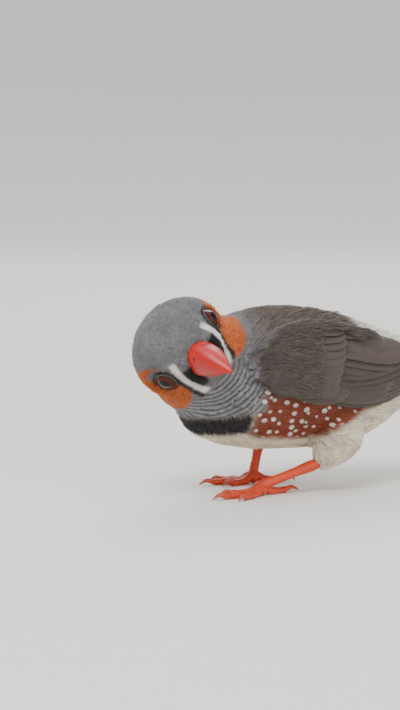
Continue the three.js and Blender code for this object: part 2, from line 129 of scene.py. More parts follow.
def colour_property(name, description, red, green, blue):
    """A colour of the panel whose default is a display colour of 0 to 255."""
    return bpy.props.FloatVectorProperty(
        name=name, description=description, default=linear(red, green, blue), subtype="COLOR")


def smooth(value, low=0.0, high=1.0):
    """0 below low, 1 above high, and 3t^2 - 2t^3 of the share t between them."""
    t = np.clip((np.asarray(value, float) - low) / (high - low), 0, 1)
    return t * t * (3 - 2 * t)


def unit(vectors):
    """Vectors divided by their lengths."""
    return vectors / np.maximum(np.linalg.norm(vectors, axis=-1, keepdims=True), 1e-9)


def dot(a, b):
    """The sum of products along the last axis."""
    return np.sum(a * b, axis=-1)


def stacked(x, y, z):
    """Three arrays, spread to one shape, as points."""
    return np.stack(np.broadcast_arrays(x, y, z), axis=-1)


def circle(count):
    """Even angles round a full turn."""
    return np.linspace(0, 2 * np.pi, count, endpoint=False)


def spline(rows, u, before=None):
    """Catmull-Rom through rows at parameters u; the row before the first is given or mirrored through it."""
    rows = np.asarray(rows, float)
    u = np.asarray(u, float)
    before = 2 * rows[0] - rows[1] if before is None else before
    padded = np.vstack([before, rows, 2 * rows[-1] - rows[-2]])
    i = np.clip(np.floor(u).astype(int), 0, len(rows) - 2)
    t = (u - i)[..., None]
    a, b, c, d = padded[i], padded[i + 1], padded[i + 2], padded[i + 3]
    return b + 0.5 * t * (c - a + t * (2 * a - 5 * b + 4 * c - d + t * (3 * (b - c) + d - a)))


def profile(values, count):
    """A smooth run through single values, at even parameters."""
    return spline(np.array(values, float)[:, None], np.linspace(0, len(values) - 1, count))[:, 0]


def pole_before(rows):
    """The row before a pole: the second row with a negative half width, so that the pole is round."""
    x, width, top, bottom = rows[1]
    return np.array([x, -width, 2 * rows[0][2] - top, 2 * rows[0][3] - bottom])


BODY_U = np.linspace(0, len(BODY) - 1, 3000)
BODY_X = spline(BODY, BODY_U, pole_before(BODY))[:, 0]


def body_row(x):
    """Half width, back height and belly height of the body at x."""
    return spline(BODY, np.interp(x, BODY_X, BODY_U), pole_before(BODY))


def oval(row, q, lift, side=1):
    """A point on the oval of a station: side (w + lift) sin q across, middle + (h + lift) cos q up."""
    turn = np.radians(q)
    middle = (row[..., 2] + row[..., 3]) / 2
    half = (row[..., 2] - row[..., 3]) / 2
    across = side * (row[..., 1] + lift) * np.sin(turn)
    return stacked(row[..., 0], across, middle + (half + lift) * np.cos(turn))


def body_point(x, q, lift, side=1):
    """The body's chart: the oval of the station at x, q degrees from the back, lifted out."""
    return oval(body_row(x), q, lift, side)


def body_chart(points):
    """x, and q from the back by the arctangent of a point's shares of half width and half height."""
    row = body_row(np.clip(points[..., 0], BODY_X[0] + 0.3, BODY_X[-1]))
    middle = (row[..., 2] + row[..., 3]) / 2
    half = np.maximum((row[..., 2] - row[..., 3]) / 2, 0.5)
    width = np.maximum(row[..., 1], 0.5)
    q = np.degrees(np.arctan2(np.abs(points[..., 1]) / width, (points[..., 2] - middle) / half))
    return points[..., 0], q


def in_head(points):
    """Points of the bird's frame as ahead, to the left and up in the head's."""
    return (points - HEAD_CENTRE) @ HEAD_AXES.T


def from_head(points):
    """Points of the head's frame in the bird's."""
    return np.asarray(points, float) @ HEAD_AXES + HEAD_CENTRE


# Meshes from grids of points.
def ring_quads(bands, sides, start=0):
    """Quads between rings of `sides` points, numbered from `start`, one band after another."""
    band, side = np.meshgrid(np.arange(bands), np.arange(sides), indexing="ij")
    a = (start + band * sides + side).ravel()
    b = (start + band * sides + (side + 1) % sides).ravel()
    return np.stack([a, b, b + sides, a + sides], axis=1)


def tube_mesh(rings):
    """Rings of points (R, C, 3) joined by quads and closed at both ends by fans to their middles."""
    count, sides = rings.shape[:2]
    points = np.vstack([rings.reshape(-1, 3), rings[0].mean(0), rings[-1].mean(0)])
    ring = np.arange(sides)
    after = (ring + 1) % sides
    last = (count - 1) * sides
    first_cap = np.stack([np.full(sides, count * sides), after, ring], axis=1)
    last_cap = np.stack([np.full(sides, count * sides + 1), last + ring, last + after], axis=1)
    return points, [ring_quads(count - 1, sides), np.vstack([first_cap, last_cap])]


def slab_mesh(outer, inner):
    """Two grids of points of one size, each a sheet of quads, joined round their rim."""
    rows, columns = outer.shape[:2]
    far = rows * columns
    r, c = np.meshgrid(np.arange(rows - 1), np.arange(columns - 1), indexing="ij")
    a = (r * columns + c).ravel()
    front = np.stack([a, a + 1, a + columns + 1, a + columns], axis=1)
    back = front[:, ::-1] + far
    top = np.arange(columns)
    right = np.arange(1, rows) * columns + columns - 1
    bottom = (rows - 1) * columns + np.arange(columns - 2, -1, -1)
    left = np.arange(rows - 2, 0, -1) * columns
    rim = np.concatenate([top, right, bottom, left])
    after = np.roll(rim, -1)
    edge = np.stack([after, rim, rim + far, after + far], axis=1)
    return np.vstack([outer.reshape(-1, 3), inner.reshape(-1, 3)]), [front, back, edge]


def outward(points, faces):
    """The faces, turned round if the volume they enclose, summed over fans of triangles, is negative."""
    volume = 0.0
    for block in faces:
        for k in range(1, block.shape[1] - 1):
            a, b, c = points[block[:, 0]], points[block[:, k]], points[block[:, k + 1]]
            volume += dot(a, np.cross(b, c)).sum()
    return faces if volume > 0 else [block[:, ::-1] for block in faces]


def joined(parts):
    """Several (points, faces, attributes) as one, with the faces' numbers moved on."""
    points, faces, marks, start = [], [], {}, 0
    for part_points, part_faces, part_marks in parts:
        points.append(part_points)
        faces += [block + start for block in outward(part_points, part_faces)]
        for name, values in part_marks.items():
            marks.setdefault(name, []).append(values)
        start += len(part_points)
    merged = [np.vstack([f for f in faces if f.shape[1] == size]) for size in (3, 4)
              if any(f.shape[1] == size for f in faces)]
    return np.vstack(points), merged, {name: np.concatenate(values) for name, values in marks.items()}


def put_mesh(name, points, faces, marks=None, uv=None):
    """A smooth mesh object from points in millimetres, faces, marks of 3 or 4 numbers and an unwrap."""
    mesh = bpy.data.meshes.new(name)
    world = to_world(points).astype(np.float32)
    mesh.vertices.add(len(world))
    mesh.vertices.foreach_set("co", world.ravel())
    corners = np.concatenate([block.ravel() for block in faces]).astype(np.int32)
    sizes = np.concatenate([np.full(len(block), block.shape[1]) for block in faces])
    mesh.loops.add(len(corners))
    mesh.loops.foreach_set("vertex_index", corners)
    mesh.polygons.add(len(sizes))
    mesh.polygons.foreach_set("loop_start", np.concatenate([[0], np.cumsum(sizes)[:-1]]).astype(np.int32))
    mesh.update(calc_edges=True)
    mesh.shade_smooth()
    add_marks(mesh, marks or {})
    if uv is not None:
        layer = mesh.uv_layers.new(name="OFBake")
        layer.uv.foreach_set("vector", uv[corners].astype(np.float32).ravel())
    piece = bpy.data.objects.new(name, mesh)
    bpy.context.scene.collection.objects.link(piece)
    return piece


def add_marks(mesh, marks):
    """Attributes on a mesh's points: a colour where four numbers are given, a vector where three."""
    for name, values in marks.items():
        kind, field = ("FLOAT_COLOR", "color") if values.shape[1] == 4 else ("FLOAT_VECTOR", "vector")
        layer = mesh.attributes.new(name, kind, "POINT")
        layer.data.foreach_set(field, values.astype(np.float32).ravel())


def finish_piece(piece, material, slot, *nodes):
    """A piece gets its material, rides on the one body and stands for the CAD nodes; the slot given is not
    used.
    """
    piece.data.materials.clear()
    piece.data.materials.append(material)
    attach(piece, "root")
    if nodes:
        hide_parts(*nodes)


# Shader nodes.
def node(tree, kind, values=None, **settings):
    """A node with its settings, and its input sockets given as numbers or links."""
    made = tree.nodes.new(kind)
    for key, value in settings.items():
        setattr(made, key, value)
    for key, value in (values or {}).items():
        socket = made.inputs[key]
        if isinstance(value, bpy.types.NodeSocket):
            tree.links.new(value, socket)
        else:
            socket.default_value = value
    return made


def math_node(tree, operation, *values):
    """A Math node's output."""
    return node(tree, "ShaderNodeMath", dict(enumerate(values)), operation=operation).outputs[0]


def mix_colour(tree, share, first, second, blend="MIX"):
    """A colour Mix node's output."""
    made = node(tree, "ShaderNodeMix", data_type="RGBA", blend_type=blend, clamp_factor=True)
    for index, value in ((0, share), (6, first), (7, second)):
        if isinstance(value, bpy.types.NodeSocket):
            tree.links.new(value, made.inputs[index])
        else:
            made.inputs[index].default_value = value
    return made.outputs[2]


def remap(tree, value, low, high, to_low=0.0, to_high=1.0):
    """A smooth Map Range node's output."""
    made = node(tree, "ShaderNodeMapRange", {0: value, 1: low, 2: high, 3: to_low, 4: to_high},
                interpolation_type="SMOOTHSTEP")
    return made.outputs[0]


def noise(tree, vector, scale, detail):
    """A Noise Texture node's value."""
    made = node(tree, "ShaderNodeTexNoise", {"Vector": vector, "Scale": scale, "Detail": detail})
    return made.outputs["Fac"]


def attribute(tree, name):
    """A node that reads an attribute of the mesh."""
    return node(tree, "ShaderNodeAttribute", attribute_name=name)


def object_place(tree):
    """The Object coordinates."""
    return node(tree, "ShaderNodeTexCoord").outputs["Object"]


def group_node(tree, name, values):
    """A node of the shared group of that name."""
    return node(tree, "ShaderNodeGroup", values, node_tree=group(name))


def add_bump(tree, shader, height, strength, distance):
    """A bump on the shader's normal; the distance is in metres."""
    made = node(tree, "ShaderNodeBump", {"Height": height, "Strength": strength, "Distance": distance})
    tree.links.new(made.outputs[0], shader.inputs["Normal"])


def new_group(name, inputs, outputs):
    """A shader node group with float, colour or vector sockets, and its input and output nodes."""
    tree = bpy.data.node_groups.new(name, "ShaderNodeTree")
    for label, kind, value in inputs:
        socket = tree.interface.new_socket(label, in_out="INPUT", socket_type="NodeSocket" + kind)
        if value is not None:
            socket.default_value = value
    for label, kind in outputs:
        tree.interface.new_socket(label, in_out="OUTPUT", socket_type="NodeSocket" + kind)
    return tree, tree.nodes.new("NodeGroupInput"), tree.nodes.new("NodeGroupOutput")


def throat_bars_group():
    """Dark bars across the throat: a noisy sine of the distance from the bill's root over a period."""
    tree, given, out = new_group(
        "Throat bars",
        [("Vector", "Vector", None), ("Mask", "Float", 0.0), ("Root", "Vector", None),
         ("Period", "Float", 0.001)],
        [("Bars", "Float")],
    )
    vector = given.outputs["Vector"]
    wobble = math_node(tree, "MULTIPLY", noise(tree, vector, 260.0, 2.0), 0.0009)
    distance = node(tree, "ShaderNodeVectorMath", {0: vector, 1: given.outputs["Root"]},
                    operation="DISTANCE").outputs["Value"]
    turns = math_node(tree, "DIVIDE", math_node(tree, "ADD", distance, wobble), given.outputs["Period"])
    wave = math_node(tree, "SINE", math_node(tree, "MULTIPLY", turns, 2 * math.pi))
    bars = remap(tree, wave, 0.1, 0.9)
    tree.links.new(math_node(tree, "MULTIPLY", bars, given.outputs["Mask"]), out.inputs["Bars"])
    return tree


def flank_spots_group():
    """Round spots of several sizes on the flanks: near the middles of Voronoi cells of the body's chart."""
    tree, given, out = new_group(
        "Flank spots",
        [("Chart", "Vector", None), ("Mask", "Float", 0.0), ("Spacing", "Float", 2.1),
         ("Size", "Float", 0.19)],
        [("Spots", "Float")],
    )
    scale = math_node(tree, "DIVIDE", 1.0, given.outputs["Spacing"])
    place = node(tree, "ShaderNodeVectorMath", {0: given.outputs["Chart"]}, operation="SCALE")
    tree.links.new(scale, place.inputs["Scale"])
    cells = node(tree, "ShaderNodeTexVoronoi",
                 {"Vector": place.outputs[0], "Scale": 1.0, "Randomness": 0.85}, voronoi_dimensions="2D")
    chance = node(tree, "ShaderNodeSeparateColor", {0: cells.outputs["Color"]}).outputs[0]
    grown = math_node(tree, "MULTIPLY_ADD", chance, 0.7, 0.55)
    size = math_node(tree, "MULTIPLY", given.outputs["Size"], grown)
    spots = remap(tree, cells.outputs["Distance"], math_node(tree, "ADD", size, 0.09), size)
    masked = math_node(tree, "MULTIPLY", spots, given.outputs["Mask"])
    tree.links.new(math_node(tree, "MULTIPLY", masked, 0.86), out.inputs["Spots"])
    return tree


def barbs_group():
    """Barbs of a vane: fine waves along the barb length given, each a little raised and shaded."""
    tree, given, out = new_group(
        "Feather barbs",
        [("Vane", "Vector", None), ("Period", "Float", 0.28)],
        [("Height", "Float"), ("Shade", "Float"), ("Shaft", "Float")],
    )
    parts = node(tree, "ShaderNodeSeparateXYZ", {0: given.outputs["Vane"]})
    rough = noise(tree, given.outputs["Vane"], 2.2, 3.0)
    moved = math_node(tree, "MULTIPLY_ADD", rough, 0.35, parts.outputs["Z"])
    turns = math_node(tree, "DIVIDE", moved, given.outputs["Period"])
    wave = math_node(tree, "SINE", math_node(tree, "MULTIPLY", turns, 2 * math.pi))
    shaft = remap(tree, math_node(tree, "ABSOLUTE", parts.outputs["X"]), 0.07, 0.02)
    raised = math_node(tree, "ADD", math_node(tree, "MULTIPLY", wave, 0.5), shaft)
    shade = math_node(tree, "MULTIPLY_ADD", wave, 0.07, math_node(tree, "MULTIPLY_ADD", rough, 0.3, 0.85))
    for label, value in (("Height", raised), ("Shade", shade), ("Shaft", shaft)):
        tree.links.new(value, out.inputs[label])
    return tree


def grain_group():
    """Fine two-scale noise from Object coordinates: a value about 1 and a height."""
    tree, given, out = new_group(
        "Skin grain",
        [("Vector", "Vector", None), ("Scale", "Float", 1500.0), ("Strength", "Float", 0.2)],
        [("Shade", "Float"), ("Height", "Float")],
    )
    fine = noise(tree, given.outputs["Vector"], given.outputs["Scale"], 4.0)
    wide = noise(tree, given.outputs["Vector"], 220.0, 2.0)
    both = math_node(tree, "ADD", fine, wide)
    spread = math_node(tree, "MULTIPLY", math_node(tree, "SUBTRACT", both, 1.0), given.outputs["Strength"])
    tree.links.new(math_node(tree, "ADD", spread, 1.0), out.inputs["Shade"])
    tree.links.new(both, out.inputs["Height"])
    return tree


def group(name):
    """The node group of that name, built once."""
    makers = {"Throat bars": throat_bars_group, "Flank spots": flank_spots_group,
              "Feather barbs": barbs_group, "Skin grain": grain_group}
    return bpy.data.node_groups.get(name) or makers[name]()


def new_material(name, sockets):
    """A material with a Principled BSDF whose plain values are set on its own sockets."""
    material = bpy.data.materials.new(name)
    material.use_nodes = True
    shader = material.node_tree.nodes["Principled BSDF"]
    for key, value in sockets.items():
        shader.inputs[key].default_value = value
    return material, material.node_tree, shader


def shaded(tree, colour, shade):
    """A colour multiplied by a value."""
    grey = node(tree, "ShaderNodeCombineColor", {0: shade, 1: shade, 2: shade}).outputs[0]
    return mix_colour(tree, 1.0, colour, grey, "MULTIPLY")


def plumage_material(props):
    """Small feathers: the tint on the points, throat bars and flank spots over it, times the tint's alpha: a
    random tone by tuft and painted shade towards each barb's root.
    """
    material, tree, shader = new_material(
        "Plumage",
        {"Roughness": 0.78, "Specular IOR Level": 0.22, "Sheen Weight": 0.12, "Sheen Roughness": 0.5})
    place = object_place(tree)
    tint = attribute(tree, "tint")
    masks = node(tree, "ShaderNodeSeparateColor", {0: attribute(tree, "marks").outputs["Color"]})
    bars = group_node(tree, "Throat bars", {
        "Vector": place, "Mask": masks.outputs[0], "Root": to_world(BILL_ROOT), "Period": props.bar_period})
    spots = group_node(tree, "Flank spots", {
        "Chart": attribute(tree, "chart").outputs["Vector"], "Mask": masks.outputs[1],
        "Spacing": 1000 * props.spot_spacing})
    barred = mix_colour(tree, bars.outputs["Bars"], tint.outputs["Color"], (*props.bar_colour, 1))
    spotted = mix_colour(tree, spots.outputs["Spots"], barred, (*props.white_colour, 1))
    grain = group_node(tree, "Skin grain", {"Vector": place, "Scale": 900.0, "Strength": 0.5})
    # The tint's alpha carries a random tone by tuft and the painted shade towards each barb's root.
    shade = math_node(tree, "MULTIPLY", tint.outputs["Alpha"], grain.outputs["Shade"])
    tree.links.new(shaded(tree, spotted, shade), shader.inputs["Base Color"])
    return material


def vane_material(name, roughness):
    """Flight feathers: the tint on the points, barbs as fine shade and bump, the shaft darker."""
    material, tree, shader = new_material(
        name, {"Roughness": roughness, "Specular IOR Level": 0.3, "Sheen Weight": 0.08})
    tint = attribute(tree, "tint")
    barbs = group_node(tree, "Feather barbs", {"Vane": attribute(tree, "vane").outputs["Vector"]})
    shade = math_node(tree, "MULTIPLY", tint.outputs["Alpha"], barbs.outputs["Shade"])
    dark = math_node(tree, "MULTIPLY_ADD", barbs.outputs["Shaft"], -0.2, 1.0)
    tree.links.new(shaded(tree, tint.outputs["Color"], math_node(tree, "MULTIPLY", shade, dark)),
                   shader.inputs["Base Color"])
    add_bump(tree, shader, barbs.outputs["Height"], 0.35, 0.00006)
    return material


def horn_material(name, colour, second, roughness, coat, scale, bump):
    """Bill, lids, scales and claws under a thin gloss. The tint's alpha mixes in the second colour and its
    red paints shade into the bill's nostril pits and mouth line, over fine noise and a bump."""
    material, tree, shader = new_material(
        name, {"Roughness": roughness, "Coat Weight": coat, "Coat Roughness": 0.25, "Subsurface Weight": 0.12,
               "Subsurface Radius": (0.0012, 0.0004, 0.0002), "Subsurface Scale": 1.0})
    tint = attribute(tree, "tint")
    grain = group_node(tree, "Skin grain", {"Vector": object_place(tree), "Scale": scale, "Strength": 0.35})
    base = mix_colour(tree, tint.outputs["Alpha"], (*colour, 1), (*second, 1))
    # The tint's red is painted shade: the bill's nostril pits and mouth line.
    painted_shade = node(tree, "ShaderNodeSeparateColor", {0: tint.outputs["Color"]}).outputs[0]
    dark = math_node(tree, "MULTIPLY_ADD", painted_shade, -0.85, 1.0)
    shade = math_node(tree, "MULTIPLY", dark, grain.outputs["Shade"])
    tree.links.new(shaded(tree, base, shade), shader.inputs["Base Color"])
    add_bump(tree, shader, grain.outputs["Height"], bump, 0.00008)
    return material


def eye_material(props):
    """The eye by the angle from its axis: black pupil, red-brown iris with fine rays, dark rim, a gloss."""
    material, tree, shader = new_material(
        "Eye", {"Roughness": 0.2, "Coat Weight": 0.5, "Coat Roughness": 0.02, "Coat IOR": 1.3,
                "Specular IOR Level": 0.12})
    ring = attribute(tree, "eye").outputs["Vector"]
    angle = node(tree, "ShaderNodeSeparateXYZ", {0: ring}).outputs["X"]
    iris = mix_colour(tree, noise(tree, ring, 9.0, 3.0), (*props.iris_colour, 1), (0.02, 0.006, 0.004, 1))
    seen = mix_colour(tree, remap(tree, angle, 0.55, 0.58), (0.004, 0.004, 0.004, 1), iris)
    rimmed = mix_colour(tree, remap(tree, angle, 0.84, 0.96), seen, (0.008, 0.006, 0.006, 1))
    tree.links.new(rimmed, shader.inputs["Base Color"])
    return material


# The skin: one seamless form of torso, neck, head, thighs and the root of the tail.
def oval_rings(rows, count, sides, lift):
    """Rings of ovals at even parameters along rows of stations, each lifted."""
    u = np.linspace(0, len(rows) - 1, count)[:, None]
    q = np.linspace(0, 360, sides, endpoint=False)[None, :]
    row = spline(rows, np.broadcast_to(u, (count, sides)), pole_before(rows))
    raised = np.where(row[..., 1] > -lift + 0.2, lift, -0.85 * np.abs(row[..., 1]) * (lift < 0))
    return oval(row, q, raised)


def ring_turns(sides):
    """The angles of a tube ring's points, half a step from the level direction."""
    return 2 * np.pi * (np.arange(sides) + 0.5) / sides


def tube_rings(path, radii, sides, level):
    """Rings about a smooth path: centre + radius (across cos t + up sin t), turned to a level direction."""
    steps = np.linspace(0, len(path) - 1, 60)
    line = spline(path, steps)
    run = np.concatenate([[0], np.cumsum(np.linalg.norm(np.diff(line, axis=0), axis=1))])
    count = len(radii)
    at = np.interp(np.linspace(0, run[-1], count), run, steps)
    centre = spline(path, at)
    way = unit(spline(path, at + 0.01) - spline(path, at - 0.01))
    across = unit(np.cross(level, way))
    up = np.cross(way, across)
    turn = ring_turns(sides)[None, :, None]
    spoke = across[:, None] * np.cos(turn) + up[:, None] * np.sin(turn)
    return centre[:, None] + np.asarray(radii)[:, None, None] * spoke


def thigh_rings(leg, less):
    """The feathered thigh from the knee to the ankle, its radii smaller by `less`."""
    knee, ankle = np.array(leg["knee"], float), np.array(leg["ankle"], float)
    path = np.array([knee, (knee + ankle) / 2 + [1, 0, 0], ankle - 0.05 * (knee - ankle)])
    shares = profile([0.9, 1, 0.96, 0.82, 0.56, 0.3], 16)
    return tube_rings(path, np.maximum(shares * leg["thigh"] - less, 0.5), 24, ACROSS)


def skin_object(props):
    """Closed forms drawn in by the coat's depth, fused by a voxel remesh and smoothed."""
    depth = 1000 * props.coat_depth
    neck = profile(NECK_RADII, 24)
    forms = [
        oval_rings(BODY, 120, 72, -depth),
        from_head(oval_rings(HEAD, 70, 72, -0.5 * depth)),
        tube_rings(NECK_PATH, np.maximum(neck - 0.8 * depth, 0.6), 64, UPWARD),
        *[thigh_rings(leg, 0.8 * depth) for leg in FEET.values()],
    ]
    points, faces, _ = joined([(*tube_mesh(rings), {}) for rings in forms])
    rough = put_mesh("skin_forms", points, faces)
    remesh = rough.modifiers.new("Fuse", "REMESH")
    remesh.mode = "VOXEL"
    remesh.voxel_size = 0.00042
    soften = rough.modifiers.new("Soften", "SMOOTH")
    soften.factor = 0.5
    soften.iterations = 10
    view = bpy.context.evaluated_depsgraph_get()
    mesh = bpy.data.meshes.new_from_object(rough.evaluated_get(view))
    bpy.data.objects.remove(rough)
    mesh.name = "skin"
    mesh.shade_smooth()
    skin = bpy.data.objects.new("skin", mesh)
    bpy.context.scene.collection.objects.link(skin)
    return skin


def eye_frame(side):
    """An eye's middle, and the way out along its axis, turned ahead from the side."""
    turn = math.radians(EYE_TURN)
    axis = math.sin(turn) * HEAD_AHEAD + side * math.cos(turn) * HEAD_SIDE
    return from_head([EYE_AHEAD, side * EYE_OUT, EYE_UP]), axis


def eye_reach(points):
    """For the nearer eye: the way out from its axis to each point, and that distance. A point well behind
    an eye counts as far from it."""
    ways, radii = [], []
    for side in (-1, 1):
        middle, axis = eye_frame(side)
        away = points - middle
        reach = dot(away, axis)
        across = away - reach[:, None] * axis
        radius = np.linalg.norm(across, axis=1) + 20 * (reach < -1)
        ways.append(across / np.maximum(radius, 1e-6)[:, None])
        radii.append(radius)
    nearer = radii[1] < radii[0]
    return np.where(nearer[:, None], ways[1], ways[0]), np.where(nearer, radii[1], radii[0])


def sink_sockets(points):
    """Skin round each eye pressed in along the eye's axis: no further out from the eye's middle than
    SOCKET_REACH within the lids, easing to the untouched skin at SOCKET_RADIUS from the axis."""
    for side in (-1, 1):
        middle, axis = eye_frame(side)
        away = points - middle
        reach = dot(away, axis)
        radius = np.linalg.norm(away - reach[:, None] * axis, axis=1)
        limit = SOCKET_REACH + 3.5 * smooth(radius, 1.6, SOCKET_RADIUS)
        over = np.where((reach > 0) & (radius < SOCKET_RADIUS), np.maximum(reach - limit, 0), 0)
        points = points - over[:, None] * axis
    return points


def mesh_arrays(mesh):
    """A mesh's points in the bird's frame, its point normals, and its quads as rows of four."""
    co = np.zeros(len(mesh.vertices) * 3, np.float32)
    mesh.vertices.foreach_get("co", co)
    normals = np.zeros(len(mesh.vertices) * 3, np.float32)
    mesh.vertices.foreach_get("normal", normals)
    corners = np.zeros(len(mesh.loops), np.int32)
    mesh.loops.foreach_get("vertex_index", corners)
    sizes = np.zeros(len(mesh.polygons), np.int32)
    mesh.polygons.foreach_get("loop_total", sizes)
    starts = np.zeros(len(mesh.polygons), np.int32)
    mesh.polygons.foreach_get("loop_start", starts)
    quads = corners[starts[sizes == 4][:, None] + np.arange(4)]
    return co.reshape(-1, 3).astype(float) * 1000 - SHIFT, normals.reshape(-1, 3).astype(float), quads


class SkinField:
    """The skin near any point: a grid of cells, each with the mean point and normal of the skin in it,
    spread outwards, so that a point's height is (p - c) . n blended over the eight cells round it."""

    CELL = 0.9
    MARGIN = 6.0

    def __init__(self, points, normals):
        self.low = points.min(0) - self.MARGIN
        self.size = np.ceil((points.max(0) + self.MARGIN - self.low) / self.CELL).astype(int) + 1
        cell = np.floor((points - self.low) / self.CELL).astype(int)
        flat = np.ravel_multi_index(cell.T, self.size)
        total = int(np.prod(self.size))
        weight = np.bincount(flat, minlength=total).astype(float)
        values = [np.bincount(flat, data, total) for data in (*points.T, *normals.T)]
        shape = tuple(self.size)
        self.weight = weight.reshape(shape)
        self.values = np.stack(values, axis=-1).reshape(*shape, 6)
        for _ in range(6):
            self.spread()
        self.values /= np.maximum(self.weight, 1e-9)[..., None]
        self.values[..., 3:] = unit(self.values[..., 3:])

    def spread(self):
        """Empty cells take the sum of their filled neighbours."""
        empty = self.weight == 0
        weight = np.zeros_like(self.weight)
        values = np.zeros_like(self.values)
        for axis in range(3):
            for step in (-1, 1):
                weight += np.roll(self.weight, step, axis)
                values += np.roll(self.values, step, axis)
        self.weight = np.where(empty, weight, self.weight)
        self.values = np.where(empty[..., None], values, self.values)

    def at(self, points):
        """Height over the skin and the normal at points."""
        place = (points - self.low) / self.CELL - 0.5
        base = np.floor(place).astype(int)
        share = place - base
        height = np.zeros(len(points))
        normal = np.zeros_like(points)
        total = np.zeros(len(points))
        for corner in np.ndindex(2, 2, 2):
            cell = np.clip(base + corner, 0, self.size - 1)
            data = self.values[cell[:, 0], cell[:, 1], cell[:, 2]]
            filled = self.weight[cell[:, 0], cell[:, 1], cell[:, 2]] > 0
            part = np.prod(np.where(corner, share, 1 - share), axis=1) * filled
            height += part * dot(points - data[:, :3], data[:, 3:])
            normal += part[:, None] * data[:, 3:]
            total += part
        return height / np.maximum(total, 1e-9), unit(normal)

    def raise_to(self, points, heights):
        """Points moved along the normal until they stand at the heights given."""
        found, normal = self.at(points)
        moved = points + normal * (heights - found)[:, None]
        again, normal = self.at(moved)
        return moved + normal * (heights - again)[:, None], normal


# Markings, as functions of place that skin and coat share.
def paint(colour, new, share):
    """Colours mixed towards a new one by a share for each."""
    return colour + (np.asarray(new)[None, :] - colour) * np.clip(share, 0, 1)[:, None]


def waver(points, scale, seed):
    """A soft noise of sines at three turned scales, from -1 to 1, that frays the edges of a marking."""
    rng = np.random.default_rng(seed)
    total = np.zeros(len(points))
    for size in (1, 1.9, 3.7):
        way = unit(rng.normal(size=3)) * size / scale
        other = unit(rng.normal(size=3)) * size / scale
        wave = np.sin(points @ way * 2 * np.pi + rng.uniform(0, 6))
        total += wave * np.cos(points @ other * 2 * np.pi) / size
    return total / 1.8


